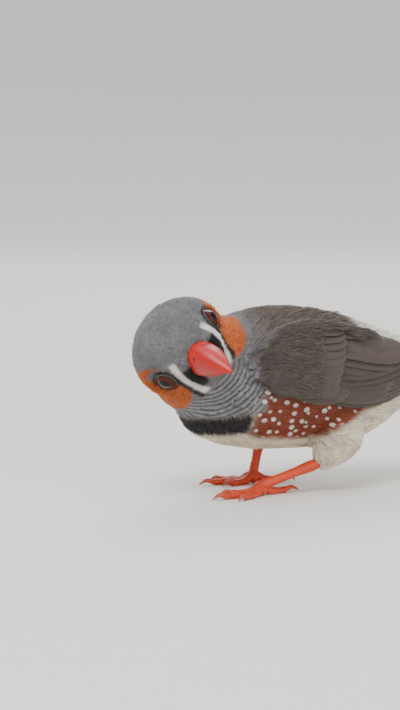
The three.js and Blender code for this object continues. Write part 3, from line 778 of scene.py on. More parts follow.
def plumage(points, props):
    """Tint (RGBA), masks (bars, spots) and chart of the plumage at points of the bird's frame."""
    x, q = body_chart(points)
    z = points[:, 2]
    ahead, out, up = in_head(points).T
    fray = waver(points, 3.2, 5)
    from_centre = np.linalg.norm(points - HEAD_CENTRE, axis=1)
    head = 1 - smooth(from_centre, 11.5, 14)
    # Back and mantle, with the white rump, and the belly.
    colour = np.tile(np.asarray(props.back_colour), (len(points), 1))
    tail_way = x + 2.2 * fray
    rump = smooth(tail_way, 20.5, 26.5) * (1 - smooth(q + 4 * fray, 75, 90))
    colour = paint(colour, props.white_colour, rump)
    colour = paint(colour, props.belly_colour, smooth(q + 5 * fray, 92, 104))
    # Chestnut flanks from the wing's edge down to a line that rises to the rear.
    lowest = np.interp(x, [-8, -4, 1, 10, 15, 20, 31, 34], [13.4, 12.2, 11, 10.6, 12.9, 15.2, 18.6, 20])
    edge = z + 0.5 * fray
    flank = smooth(edge, lowest - 0.6, lowest + 0.8) * smooth(q, 80, 90)
    flank = flank * smooth(x + 0.7 * fray, -3.2, -2) * (1 - smooth(x, 29, 33))
    flank = flank * smooth(np.abs(points[:, 1]), 3, 5)
    colour = paint(colour, props.flank_colour, flank)
    # Grey neck, barred throat and upper breast, and the black band under it.
    height = z - 0.1 * (x + 9) + 0.35 * fray
    low_front = 1 - smooth(x + 0.6 * fray, -1.8, -0.4)
    neck = 1 - smooth(x + 0.8 * fray, -4, 3)
    front = low_front + (neck - low_front) * smooth(z, 23, 28)
    upper = smooth(height, 15.6, 16.4)
    throat = front * upper * (1 - smooth(z + fray, 24, 27))
    band = (1 - smooth(x + 0.6 * fray, -3.4, -2)) * smooth(height, 11.6, 12.4) * (1 - upper)
    colour = paint(colour, props.crown_colour, 0.9 * front * upper)
    colour = paint(colour, props.throat_colour, throat)
    colour = paint(colour, props.band_colour, band)
    # The head: grey crown, cheeks, white lores between two black lines.
    under = (1 - smooth(up + 0.3 * fray, -7.4, -6)) * smooth(ahead, -4, 0)
    colour = paint(colour, props.crown_colour, head * (1 - under))
    side = np.abs(out)
    left = smooth(out, -3, 3)
    reach = np.sqrt((BILL_BASE - ahead) ** 2 + out ** 2 + 0.35 * up ** 2)
    reach = reach + 0.25 * left * np.maximum(-up - 1.5, 0)
    shape = (np.abs(ahead - 0.5 - 0.8 * left) / 5) ** 2.6
    shape = shape + (np.abs(up + 1.2 + 0.7 * left) / (5.8 - left)) ** 2.6
    lobe = ((ahead - 5.2) / 2.8) ** 2 + ((up + 5.3) / 2.1) ** 2
    shape = np.where(out > 0, np.minimum(shape, lobe), shape)
    cheek = (1 - smooth(from_centre, 12.6, 14)) * (1 - smooth(shape + 0.12 * fray, 0.86, 1.12))
    cheek = cheek * smooth(reach, 7.0, 7.3) * smooth(side, 3.0, 4.2)
    brow = 1 - smooth(np.hypot(ahead - EYE_AHEAD, up - EYE_UP) + 0.2 * fray, 2.8, 3.5)
    cheek = cheek * (1 - brow * smooth(up - 0.5 * (EYE_AHEAD - ahead), EYE_UP + 0.2, EYE_UP + 1.2))
    colour = paint(colour, props.cheek_colour, cheek)
    tall = smooth(up + 0.2 * fray, -6.6, -5.6) * (1 - smooth(up + 0.2 * fray, 3.2, 3.9))
    lores = head * tall * smooth(reach, 4.9, 5.15) * (1 - smooth(reach, 6.15, 6.4))
    tear = head * smooth(reach, 6.2, 6.4) * (1 - smooth(reach, 7.05, 7.3)) * smooth(side, 2.4, 3)
    tear = tear * (1 - smooth(up, 0.8, 1.8)) * smooth(up + 0.2 * fray, -6.9, -6.2)
    gape = head * (1 - smooth(reach, 5.0, 5.2)) * (1 - smooth(up, 0.6, 1.6)) * smooth(up, -5.2, -4.4)
    gape = gape * smooth(side, 2.2, 2.8)
    colour = paint(colour, props.white_colour, lores)
    colour = paint(colour, props.band_colour, 0.85 * (1 - smooth(eye_reach(points)[1], 2.55, 2.85)))
    colour = paint(colour, props.band_colour, np.maximum(tear, gape))
    chin = head * under * (1 - smooth(z + fray, 26, 29))
    bars = np.clip(throat * (1 - head * (1 - under)) + chin, 0, 1)
    bars = bars * (1 - cheek) * (1 - lores) * (1 - tear) * (1 - gape)
    tint = np.column_stack([np.clip(colour, 0, 1), np.ones(len(points))])
    spots = flank * smooth(edge - lowest, 0.2, 1.2)
    marks = np.column_stack([bars, spots, np.zeros(len(points)), np.ones(len(points))])
    chart = np.column_stack([x, 1.15 * z + 50 * np.sign(points[:, 1]), 0 * x])
    return {"tint": tint, "marks": marks, "chart": chart}


# The coat.
def lie(points, normals):
    """The way feathers lie: away from the bill's root on head and neck, turning to the tail over the body,
    down to the ankle on the thighs and out from the eyes, always along the skin."""
    away = unit(points - BILL_ROOT)
    near = np.linalg.norm(points - BILL_ROOT, axis=1)
    share = smooth(near, 12, 26)[:, None]
    way = away * (1 - share) + np.array([1, 0, -0.06]) * share
    for leg in FEET.values():
        knee, ankle = np.array(leg["knee"]), np.array(leg["ankle"])
        close = 1 - smooth(np.linalg.norm(points - (knee + ankle) / 2, axis=1), 4.5, 7.5)
        low = close * (1 - smooth(points[:, 2], 9, 14))
        way = way + 1.6 * low[:, None] * (unit(ankle - knee) + [0.35, 0, 0])
    outward_way, radius = eye_reach(points)
    way = way + 0.7 * (1 - smooth(radius, 2.2, 4.2))[:, None] * outward_way
    swirl = np.column_stack([waver(points, 9, seed) for seed in (11, 12, 13)])
    way = way + 0.1 * swirl
    return unit(way - normals * dot(way, normals)[:, None])


def spaced(points, distance, rng):
    """Numbers of points at least `distance` apart: rounds that keep the first in each cell, drop it where a
    better one is near, and then drop all that the kept ones crowd."""
    low = points.min(0) - 2 * distance
    size = np.ceil((points.max(0) - low) / distance).astype(int) + 3
    order = rng.permutation(len(points))
    cells = np.floor((points - low) / distance).astype(int)
    taken = np.full(tuple(size), -1)
    around = [np.array(step) for step in np.ndindex(5, 5, 5) if tuple(step) != (2, 2, 2)]
    alive = order
    kept = []
    for _ in range(14):
        if not len(alive):
            break
        best = np.full(tuple(size), -1)
        spot = tuple(cells[alive[::-1]].T)
        best[spot] = alive[::-1]
        rank = np.full(len(points), len(points))
        rank[alive] = np.arange(len(alive))
        pick = alive[best[tuple(cells[alive].T)] == alive]
        good = np.ones(len(pick), bool)
        for step in around:
            other = neighbour(best, cells[pick] + step - 2)
            near = (other >= 0) & (np.linalg.norm(points[pick] - points[other], axis=1) < distance)
            good &= ~(near & (rank[other] < rank[pick]))
        pick = pick[good]
        kept.append(pick)
        taken[:] = -1
        taken[tuple(cells[pick].T)] = pick
        crowded = np.zeros(len(alive), bool)
        for step in [*around, np.array([2, 2, 2])]:
            other = neighbour(taken, cells[alive] + step - 2)
            crowded |= (other >= 0) & (np.linalg.norm(points[alive] - points[other], axis=1) < distance)
        alive = alive[~crowded]
    return np.concatenate(kept)


def neighbour(table, cells):
    """What a table of cells holds at cells, or -1 outside it."""
    inside = np.all((cells >= 0) & (cells < table.shape), axis=1)
    found = np.full(len(cells), -1)
    found[inside] = table[tuple(cells[inside].T)]
    return found


def scatter(points, quads, per_quad, rng):
    """Random points on quads by bilinear shares, the same number on each."""
    corner = points[np.repeat(quads, per_quad, axis=0)]
    s, t = rng.random((2, len(corner), 1))
    first = (1 - t) * corner[:, 0] + t * corner[:, 3]
    second = (1 - t) * corner[:, 1] + t * corner[:, 2]
    return (1 - s) * first + s * second


# A barb: three rings of left, right and ridge, and the tip, with their shares of its length, height and
# half width, the painted shade of each (darkest at the root, down among the coat, and a little lighter at the
# tip) and their places on the barb's patch of the unwrap.
BARB_RINGS = np.array([0.0, 0.42, 0.78, 1.0])
BARB_RISE = np.array([-0.25, 0.55, 0.9, 1.0])
BARB_HALF = np.array([0.8, 1.0, 0.75])
BARB_PAINTED_SHADE = np.repeat([0.72, 0.92, 1.03, 1.08], [3, 3, 3, 1])
BARB_PATCH = np.array([[side, height] for height in (-1, 0, 0.6) for side in (-1, 1, 0)] + [[0, 1]])
BARB_POINTS = len(BARB_PATCH)
PATCH_HALF = 0.0015


def barb_points(field, roots, normals, sizes, barbs, rng, over=None):
    """Feathers as fans of barbs. Barb u, from -1 to 1, runs from near the root to width u and length
    (0.55 + 0.45 sqrt(1 - u^2)). It is a flat three-sided spindle that rises from the skin and lies along it,
    raised by the heights that `over` gives. Gives (feathers, barbs, BARB_POINTS, 3) points."""
    count = len(roots)
    length, width, loft = (value[:, None] for value in sizes)
    along = lie(roots, normals)
    across = np.cross(normals, along)
    turn = rng.normal(0, 0.1, count)[:, None]
    along, across = (along * np.cos(turn) + across * np.sin(turn),
                     across * np.cos(turn) - along * np.sin(turn))
    u = np.linspace(-0.92, 0.92, barbs)[None, :] + rng.normal(0, 0.25 / barbs, (count, barbs))
    reach = (0.55 + 0.45 * np.sqrt(np.clip(1 - u * u, 0, 1))) * (1 + rng.normal(0, 0.07, (count, barbs)))
    start = np.stack([0.05 + 0 * u, 0.3 * u], axis=-1)
    end = np.stack([reach, u + rng.normal(0, 0.06, u.shape)], axis=-1)
    flat = start[:, :, None] + (end - start)[:, :, None] * BARB_RINGS[None, None, :, None]
    flat[..., 1] += 0.12 * (u * (1 - u * u))[:, :, None] * np.sin(np.pi * BARB_RINGS)
    place = (roots[:, None, None] + along[:, None, None] * (flat[..., :1] * length[:, :, None, None])
             + across[:, None, None] * (flat[..., 1:] * width[:, :, None, None]))
    wild = rng.normal(0, 0.1, (count, 1)) + rng.normal(0, 0.05, (count, barbs))
    height = loft[:, :, None] * (BARB_RISE * (1 + wild[..., None]) - 0.16 * (u * u)[..., None])
    if over is not None:
        height = height + over(place.reshape(-1, 3)).reshape(height.shape)
    middle, normal = field.raise_to(place.reshape(-1, 3), height.ravel())
    middle = middle.reshape(count, barbs, 4, 3)
    normal = normal.reshape(count, barbs, 4, 3)
    way = unit(np.gradient(middle, axis=2))
    side = np.cross(normal, way)
    half = (width * 1.05 / barbs)[..., None] * BARB_HALF
    half = half[..., None] * (1 + 0 * middle[:, :, :3, :1])
    ring = middle[:, :, :3]
    left = ring - side[:, :, :3] * half
    right = ring + side[:, :, :3] * half
    ridge = ring + normal[:, :, :3] * np.maximum(0.35 * half, 0.05)
    rings = np.stack([left, right, ridge], axis=3).reshape(count, barbs, 9, 3)
    return np.concatenate([rings, middle[:, :, 3:]], axis=2)


def barb_faces(count):
    """The triangles of `count` barbs: two bands of three sides, three to the tip and one at the root."""
    faces = []
    for r in range(2):
        for k in range(3):
            a, b = 3 * r + k, 3 * r + (k + 1) % 3
            faces += [[a, b, b + 3], [a, b + 3, a + 3]]
    faces += [[6 + k, 6 + (k + 1) % 3, 9] for k in range(3)] + [[0, 2, 1]]
    return (np.array(faces)[None] + BARB_POINTS * np.arange(count)[:, None, None]).reshape(-1, 3)


def root_map(roots, tract):
    """An unwrap of the tract by the skin's own shape, spread over the square: head tracts by the turn about
    the head's side axis and the place along it, the others by x and the turn round the body."""
    if tract["on_head"]:
        ahead, out, up = in_head(roots).T
        first, second = np.arctan2(up, ahead + 12), out
    else:
        x, q = body_chart(roots)
        first, second = x, q * np.sign(roots[:, 1] + 1e-6)
    if tract["under"]:
        second = np.where(second < 0, second + 360, second)
    place = np.column_stack([first, second])
    low, high = place.min(0), place.max(0)
    return 0.01 + 0.98 * (place - low) / np.maximum(high - low, 1e-6)


def tract_masks(points):
    """Which tract of feathers each place of the skin belongs to."""
    x, q = body_chart(points)
    ahead, out, up = in_head(points).T
    head = np.linalg.norm(points - HEAD_CENTRE, axis=1) < 12.2
    left = points[:, 1] < 0
    thigh = np.zeros(len(points), bool)
    for leg in FEET.values():
        ankle, knee = np.array(leg["ankle"]), np.array(leg["knee"])
        middle = 0.55 * ankle + 0.45 * knee
        close = np.linalg.norm(points - middle, axis=1) < 6.8
        thigh |= close & (points[:, 2] < 13.5) & (np.abs(points[:, 1]) > 5.2)
    names = np.full(len(points), "coat_back", dtype=object)
    names[q > 60] = "coat_flank_right"
    names[(q > 60) & left] = "coat_flank_left"
    names[q > 128] = "coat_belly"
    names[(x > 26)] = "coat_rump"
    names[(x > 24) & (q > 105)] = "coat_vent"
    names[(x < -3.5) & (q > 35)] = "coat_breast"
    names[(x < -3.5) & (q <= 35)] = "coat_nape"
    names[thigh & left] = "coat_thigh_left"
    names[thigh & ~left] = "coat_thigh_right"
    names[head & (out >= 0)] = "coat_head_left"
    names[head & (out < 0)] = "coat_head_right"
    names[head & (up < -5.2) & (ahead > -5)] = "coat_throat"
    names[np.linalg.norm(points - BILL_ROOT, axis=1) < 7.4] = "coat_face"
    return names


TRACTS = {
    "coat_face": dict(spacing=0.36, barbs=5, on_head=True, under=False),
    "coat_head_left": dict(spacing=0.48, barbs=7, on_head=True, under=False),
    "coat_head_right": dict(spacing=0.48, barbs=7, on_head=True, under=False),
    "coat_throat": dict(spacing=0.5, barbs=7, on_head=True, under=False),
    "coat_nape": dict(spacing=0.65, barbs=9, on_head=False, under=False),
    "coat_breast": dict(spacing=0.68, barbs=9, on_head=False, under=True),
    "coat_back": dict(spacing=0.85, barbs=11, on_head=False, under=False),
    "coat_flank_left": dict(spacing=0.8, barbs=10, on_head=False, under=False),
    "coat_flank_right": dict(spacing=0.8, barbs=10, on_head=False, under=False),
    "coat_belly": dict(spacing=0.85, barbs=11, on_head=False, under=True),
    "coat_rump": dict(spacing=0.85, barbs=11, on_head=False, under=False),
    "coat_vent": dict(spacing=0.85, barbs=11, on_head=False, under=True),
    "coat_thigh_left": dict(spacing=0.7, barbs=8, on_head=False, under=True),
    "coat_thigh_right": dict(spacing=0.7, barbs=8, on_head=False, under=True),
}
SHOULDER = dict(spacing=0.66, barbs=10, on_head=False, under=False)
COAT_SEED = 100
SHOULDER_SEED = 77
WING_SEED = 31
TAIL_SEED = 32


def bare_places(points):
    """Places with no coat: the bill's base, the eyes, and the skin well under the folded wings."""
    local = in_head(points)
    bare = (local[:, 0] > BILL_BASE - 0.35) & (np.hypot(local[:, 1], local[:, 2]) < 5)
    bare |= eye_reach(points)[1] < EYE_RADIUS - 0.1
    x, q = body_chart(points)
    low = np.interp(x, [0, 4, 10, 26, 34], [88, 93, 97, 90, 82])
    high = np.interp(x, [0, 4, 8, 24, 34], [60, 50, 46, 50, 64])
    bare |= (x > 0.5) & (x < 32) & (q > high + 6) & (q < low - 4)
    bare |= (x > 44) & (q < 88)
    bare |= x > 50
    return bare


def coat_tract(name, tract, skin, field, props, number):
    """One tract's feathers on its quads: roots spaced evenly, sizes growing from the bill to the body."""
    points, quads, tracts = skin
    rng = np.random.default_rng(COAT_SEED + number)
    mine = quads[tracts == name]
    roots = scatter(points, mine, max(4, int(round(3.2 / tract["spacing"] ** 2))), rng)
    roots = roots[~bare_places(roots)]
    roots = roots[spaced(roots, tract["spacing"] * props.feather_spacing, rng)]
    return feather_piece(name, roots, field, props, tract, rng)


def wing_edges(x):
    """The folded wing's upper and lower edges on the body's chart."""
    upper = np.interp(x, [-4, 0, 4, 8, 24, 34], [68, 50, 44, 41, 42, 56])
    lower = np.interp(x, [-4, 0, 6, 14, 30], [80, 96, 101, 99, 92])
    return upper, lower


def wing_share(points):
    """1 over the folded wing, 0 off it, with soft edges above and below, and before the bend."""
    x, q = body_chart(points)
    high, low = wing_edges(x)
    return smooth(q, high - 4, high + 1) * (1 - smooth(q, low, low + 3)) * smooth(x, -4.6, -3.2)


def wing_height(points, depth):
    """How high over the skin the folded wing's feathers lie at places of the upper side and the shoulder."""
    x, q = body_chart(points)
    high, low = wing_edges(x)
    rise = np.interp(x, [-4.8, -3, -1, 2, 5, 8, 12, 18, 24, 30],
                     [0, 0.6, 1.2, 1.75, 2.3, 2.5, 2.3, 1.9, 1.6, 1.3])
    inside = smooth(q, high - 6, high + 3) * (1 - smooth(q, low - 3, low + 3))
    return inside * (rise + 0.95 * depth) * smooth(x, -6, -2.4)


def feather_sizes(roots, depth, rng):
    """Length, half width and loft, growing with the distance from bill and eyes, with a little chance."""
    grown = smooth(np.linalg.norm(roots - BILL_ROOT, axis=1), 2, 24)
    grown = grown * (0.1 + 0.9 * smooth(eye_reach(roots)[1], 2.2, 5.5))
    chance = 1 + rng.normal(0, 0.09, (3, len(roots)))
    return chance * [1.15 + 3.3 * grown, 0.36 + 0.74 * grown, depth * (0.4 + 0.6 * grown)]


def feather_piece(name, roots, field, props, tract, rng, over=None):
    """One piece of coat: its feathers at the roots given, marked, shaded at random, given painted shade
    towards the barbs' roots, and mapped. Where `over` gives heights over the wing, they take the wing's tone."""
    barbs = tract["barbs"]
    _, root_normals = field.at(roots)
    sizes = feather_sizes(roots, 1000 * props.coat_depth, rng)
    made = barb_points(field, roots, root_normals, sizes, barbs, rng, over)
    flat = made.reshape(-1, 3)
    marks = plumage(flat, props)
    if over is not None:
        share = np.maximum(wing_share(roots), smooth(roots[:, 0], 11, 16))
        share = np.repeat(share, BARB_POINTS * barbs)
        tone = 0.6 * np.asarray(props.wing_colour) + 0.4 * np.asarray(props.wing_edge_colour)
        marks["tint"][:, :3] = paint(marks["tint"][:, :3], tone, share)
        marks["marks"][:, :2] *= (1 - share)[:, None]
    shade = rng.normal(1, 0.06, (len(roots), 1)) * rng.normal(1, 0.05, (len(roots), barbs))
    # The tint's alpha: a random tone by feather and barb, times the painted shade that darkens each barb
    # towards its root.
    marks["tint"][:, 3] = (shade[:, :, None] * BARB_PAINTED_SHADE).ravel()
    uv = root_map(roots, tract)[:, None, None] + PATCH_HALF * BARB_PATCH + 0 * made[..., :2]
    return put_mesh(name, flat, [barb_faces(len(roots) * barbs)], marks, uv.reshape(-1, 2))


def shoulder_roots(points, quads, side, rng):
    """Places on the skin under the wing's front edge and along its upper edge."""
    roots = scatter(points, quads, 6, rng)
    x, q = body_chart(roots)
    high, low = wing_edges(x)
    front = (x > -5.2) & (x < 4.6 + 0.9 * rng.normal(0, 1, len(x))) & (q > high - 4) & (q < low)
    reach = high + 8 - 0.35 * x + 1.5 * rng.normal(0, 1, len(x))
    upper = (x > -3) & (x < 21) & (q > high - 9) & (q < reach)
    return roots[(front | upper) & (roots[:, 1] * side > 0)]


# Feathers of wing and tail as vanes.
def vane_slab(place, length, width, rows, columns, shape, rng, thick=0.1, camber=0.0):
    """A vane: `shape` gives the half width's share along it. Across it runs over uneven columns, arched by
    camber (1 - u^2) with a raised shaft, and its under face lies `thick` below, less towards the tip.
    `place(along, across, height)` sets every point. Gives points, faces and the vane attribute (u, along,
    barb length)."""
    along = np.linspace(0, 1, rows)[:, None] ** 0.9
    even = np.linspace(-1, 1, columns)
    u = (np.sign(even) * np.abs(even) ** 1.3)[None, :]
    share = np.interp(along, *np.array(shape).T)
    phase = rng.uniform(0, 2 * np.pi, (2, 3))
    wave = [sum(np.sin(along * length * pitch + turn) for turn, pitch in zip(turns, (2.1, 5.3, 9.7)))
            for turns in phase]
    frayed = 1 - 0.018 * np.where(u < 0, wave[0], wave[1]) * np.abs(u) ** 4
    across = share * u * width / 2 * frayed
    arch = camber * (1 - (across / (width / 2)) ** 2)
    shaft = 0.07 * np.exp(-(u / 0.07) ** 2) * (1 - along)
    along = along + 0 * across
    under = thick * (1 - 0.55 * along) / 2
    points, faces = slab_mesh(place(along, across, arch + shaft + under), place(along, across, arch - under))
    vane = stacked(u, along, along * length - 1.1 * np.abs(across)).reshape(-1, 3)
    return points, faces, np.vstack([vane, vane])


# Shapes of feathers: the half width's share at places along the vane.
FLIGHT = [(0, 0.35), (0.12, 0.6), (0.3, 0.92), (0.55, 1), (0.8, 0.97), (0.9, 0.86), (0.96, 0.62), (0.99, 0.3),
          (1, 0.08)]
COVERT = [(0, 0.5), (0.25, 0.86), (0.55, 1), (0.75, 0.97), (0.88, 0.78), (0.96, 0.45), (1, 0.08)]
TAIL_SHAPE = [(0, 0.35), (0.2, 0.7), (0.5, 0.94), (0.85, 1), (0.94, 0.9), (0.98, 0.7), (1, 0.45)]


def flank_place(side, root, tip, bow, lift, lean):
    """Places of a feather of the folded wing: it runs on the body's chart from root to tip, bowed down by
    bow sin(pi along), and `across` is turned square to its run and leans in to the body above."""
    def place(along, across, height):
        x = root[0] + (tip[0] - root[0]) * along
        q = root[1] + (tip[1] - root[1]) * along + bow * np.sin(np.pi * along)
        row = body_row(x)
        radius = (row[..., 1] + (row[..., 2] - row[..., 3]) / 2) / 2 + lift[0]
        fall = radius * np.radians(tip[1] - root[1] + bow * np.pi * np.cos(np.pi * along))
        run = tip[0] - root[0]
        length = np.hypot(run, fall)
        ahead = x - fall / length * across
        turned = q + np.degrees(run / length * across / radius)
        rise = lift[0] + (lift[1] - lift[0]) * along + height + lean * across
        return body_point(ahead, turned, rise, side)
    return place


# Wing tiers from the longest feathers up. Each pair runs from the first feather of its tier to the last:
# width, the root's x and q, the tip's x and q, the bow of the run, and the heights at root and tip. `lean`
# turns the later feathers in to the body, `dark` shades the tier and `grid` counts rows and columns.
WING_TIERS = [
    dict(kind=FLIGHT, count=7, dark=0.72, lean=0.25, grid=(48, 11), width=(4.2, 4.4),
         x0=(5, 8), q0=(95, 84), x1=(44.4, 36.5), q1=(77, 62),
         bow=(14, 7), rise=(0.62, 1.1), fall=(0.6, 1.0)),
    dict(kind=FLIGHT, count=2, dark=0.72, lean=0.25, grid=(40, 11), width=(4.4, 4.4),
         x0=(9, 9.5), q0=(82, 80), x1=(34.6, 33), q1=(61, 61),
         bow=(6.5, 6), rise=(1.15, 1.2), fall=(1.0, 0.9)),
    dict(kind=FLIGHT, count=7, dark=0.9, lean=0.3, grid=(36, 11), width=(4.6, 5),
         x0=(8, 5), q0=(90, 60), x1=(27, 31), q1=(94, 62),
         bow=(4, 1), rise=(1.3, 1.4), fall=(1.15, 0.9)),
    dict(kind=FLIGHT, count=3, dark=1.0, lean=0.3, grid=(36, 13), width=(6, 5.4),
         x0=(7, 5), q0=(56, 42), x1=(32, 22.5), q1=(57, 44),
         bow=(2, 0), rise=(1.2, 0.2), fall=(1.5, 1.4)),
    dict(kind=COVERT, count=5, dark=1.0, lean=0.0, grid=(20, 9), width=(2.6, 2.6),
         x0=(3.4, 5), q0=(96, 93), x1=(15, 16.6), q1=(100.5, 96),
         bow=(2, 1), rise=(1.1, 1.2), fall=(1.3, 1.35)),
    dict(kind=COVERT, count=9, dark=1.0, lean=0.3, grid=(20, 9), width=(4, 4.2),
         x0=(3, 3.8), q0=(91, 49), x1=(13.8, 17), q1=(93, 48),
         bow=(0, 0), rise=(1.4, 1.4), fall=(1.9, 2.0)),
    dict(kind=COVERT, count=9, dark=1.0, lean=0.3, grid=(18, 9), width=(3.4, 3.6),
         x0=(0.6, 1.8), q0=(89, 54), x1=(9.2, 11.6), q1=(90, 52),
         bow=(0, 0), rise=(1.3, 1.3), fall=(2.2, 2.25)),
    dict(kind=COVERT, count=9, dark=1.0, lean=0.3, grid=(16, 9), width=(3, 3.2),
         x0=(-0.6, 0.4), q0=(87, 58), x1=(6.2, 8), q1=(88, 56),
         bow=(0, 0), rise=(1.3, 1.3), fall=(2.3, 2.35)),
]
TIER_PAIRS = ("width", "x0", "q0", "x1", "q1", "bow", "rise", "fall")
# The folded arm by stations: x, and q of its upper and lower edges.
ARM = np.array([
    [-2.4, 69, 83], [-1.4, 60, 91], [1.6, 51, 97], [6, 44, 100], [11, 42, 100], [15, 43, 98],
], float)


def wing_arm(side):
    """The folded arm under the coverts: a dome on the chart between its upper and lower edges."""
    u = np.linspace(0, len(ARM) - 1, 40)[:, None]
    row = spline(ARM, u[:, 0])
    c = np.linspace(0, 1, 21)[None, :]
    dome = np.sqrt(np.sin(np.pi * c) * np.sin(np.pi * np.minimum(u + 0.35, 3) / 6))
    x = row[:, :1] + 0 * c
    q = row[:, 1:2] + (row[:, 2:] - row[:, 1:2]) * c
    return slab_mesh(body_point(x, q, 0.35 + 0.8 * dome, side), body_point(x, q, 0.1 + 0 * dome, side))


def vane_tint(vane, colour, edge, edge_width=0.2):
    """A vane's tint: its colour, paler along the outer edge and the tip, darker at the root."""
    u, along = np.abs(vane[:, 0]), vane[:, 1]
    pale = np.maximum(smooth(u, 1 - edge_width, 1.0), smooth(along, 0.93, 1.0))
    tint = paint(np.tile(np.asarray(colour), (len(vane), 1)), edge, 0.6 * pale)
    return np.column_stack([tint, 0.86 + 0.16 * smooth(along, 0.1, 0.7)])


def wing_parts(side, props, rng):
    """Every tier's feathers and the arm, as points, faces and attributes."""
    parts = []
    for tier in WING_TIERS:
        for i in range(tier["count"]):
            share = i / (tier["count"] - 1)
            width, x0, q0, x1, q1, bow, rise, fall = (
                tier[key][0] + (tier[key][1] - tier[key][0]) * share for key in TIER_PAIRS)
            jitter = rng.normal(0, 1, 4)
            tip = (x1 + 0.25 * jitter[0], q1 + 0.4 * jitter[1])
            lift = (rise, fall + 0.03 * jitter[2])
            place = flank_place(side, (x0, q0), tip, bow, lift, 0.05 + tier["lean"] * share ** 2)
            points, faces, vane = vane_slab(place, tip[0] - x0, width, *tier["grid"], tier["kind"], rng,
                                             camber=0.16)
            colour = tier["dark"] * np.asarray(props.wing_colour) * (1 + 0.05 * jitter[3])
            tint = vane_tint(vane, colour, props.wing_edge_colour)
            parts.append((points, faces, {"vane": vane, "tint": tint}))
    points, faces = wing_arm(side)
    vane = np.tile([0.5, 0.5, 0.0], (len(points), 1))
    tint = np.tile([*props.wing_colour, 0.9], (len(points), 1))
    parts.append((points, faces, {"vane": vane, "tint": tint}))
    return parts


def atlas(parts):
    """An unwrap of feathers: each fills one square of a table by its u and its length."""
    side = math.ceil(math.sqrt(len(parts)))
    maps = []
    for i, (_, _, marks) in enumerate(parts):
        u, along = (marks["vane"][:, 0] + 1) / 2, marks["vane"][:, 1]
        maps.append(np.column_stack([i % side + 0.04 + 0.92 * u, i // side + 0.04 + 0.92 * along]) / side)
    return np.concatenate(maps)


def tail_place(start, end, y, height, arch):
    """Places of a tail feather on the tail's drooping plane: y and height run from its root to its tip, and
    the height falls by arch y^2 to the sides."""
    droop = math.radians(TAIL_DROOP)

    def place(along, across, rise):
        reach = start + (end - start) * along
        aside = y[0] + (y[1] - y[0]) * along + across
        up = height[0] + (height[1] - height[0]) * along + rise - arch * aside * aside
        x = TAIL_ROOT[0] + reach * math.cos(droop) + up * math.sin(droop)
        z = TAIL_ROOT[2] - reach * math.sin(droop) + up * math.cos(droop)
        return stacked(x, aside, z)
    return place


# Upper tail coverts by rows: start along the tail, half spread, heights at root and tip, ends.
UPPER_COVERTS = [
    (8.5, 3.1, (2.6, 0.55), (20, 23, 25, 26, 25.4, 22.6, 20.4)),
    (6.5, 3.4, (3.1, 1.5), (15.6, 18, 20, 20.6, 19.8, 18.2, 15.4)),
    (4.5, 3.6, (3.3, 2.4), (11, 13.4, 15, 15.4, 14.8, 13.2, 11.2)),
]
# Under tail coverts by rows: start, heights at root and tip, ends.
UNDER_COVERTS = [
    (3.0, (-3.4, -2.1), (15, 17, 18, 17, 15)),
    (1.0, (-3.7, -2.4), (10, 12, 13, 12, 10)),
]
TAIL_FEATHER_ROOT = 4
COVERT_BAR_PERIOD = 5.2


def tail_parts(props, rng):
    """Twelve tail feathers, barred coverts over their roots and pale ones under them."""
    parts = []

    def add(start, end, aside, height, arch, width, grid, shape, camber):
        """One feather between two places along the tail; gives its vane and its marks."""
        place = tail_place(start, end, aside, height, arch)
        points, faces, vane = vane_slab(place, end - start, width, *grid, shape, rng, camber=camber)
        parts.append((points, faces, {"vane": vane}))
        return vane, parts[-1][2]

    for side in (-1, 1):
        for pair in range(6):
            layer = -0.3 * pair - (0.12 if side > 0 else 0)
            end = TAIL_LENGTH - 0.5 * pair ** 1.5
            aside = (side * (0.4 + 0.28 * pair), side * (0.9 + 0.66 * pair))
            vane, marks = add(TAIL_FEATHER_ROOT, end, aside, (layer, layer), 0.03, 4.5, (44, 11),
                              TAIL_SHAPE, 0.1)
            marks["tint"] = vane_tint(vane, props.tail_colour, props.tail_edge_colour, 0.15)
    for start, spread, height, ends in UPPER_COVERTS:
        for share, end in zip(np.linspace(-1, 1, len(ends)), ends):
            aside = (spread * share, 1.15 * spread * share)
            vane, marks = add(start, end, aside, height, 0.085, 3.0, (40, 9), COVERT, 0.15)
            turns = (start + 0.7 * rng.random() + vane[:, 2]) / COVERT_BAR_PERIOD
            marks["tint"] = vane_tint(vane, props.tail_colour, props.tail_colour)
            bars = smooth(np.sin(2 * np.pi * turns), -0.35, 0.15)
            marks["tint"][:, :3] = paint(marks["tint"][:, :3], props.white_colour, bars)
    for start, height, ends in UNDER_COVERTS:
        for share, end in zip(np.linspace(-1, 1, len(ends)), ends):
            aside = (1.8 * share, 3.2 * share)
            vane, marks = add(start, end, aside, height, 0.03, 3.4, (24, 9), COVERT, -0.15)
            marks["tint"] = vane_tint(vane, props.belly_colour, props.white_colour)
    return parts


# Bill, eyes and legs.
def sink_nostrils(rings, dark):
    """Two shallow pits on the upper half near its base, and painted shade in them."""
    for side in (-1, 1):
        away = (rings - [BILL_BASE + 1.1, side * 1.9, 2.55]) / [0.62, 0.6, 0.42]
        near = dot(away, away)
        # Painted shade in each pit.
        dark = np.maximum(dark, np.exp(-4 * near))
        rings = rings - np.exp(-1.4 * near)[..., None] * [0.15, side * 0.42, 0.3]
    return rings, dark


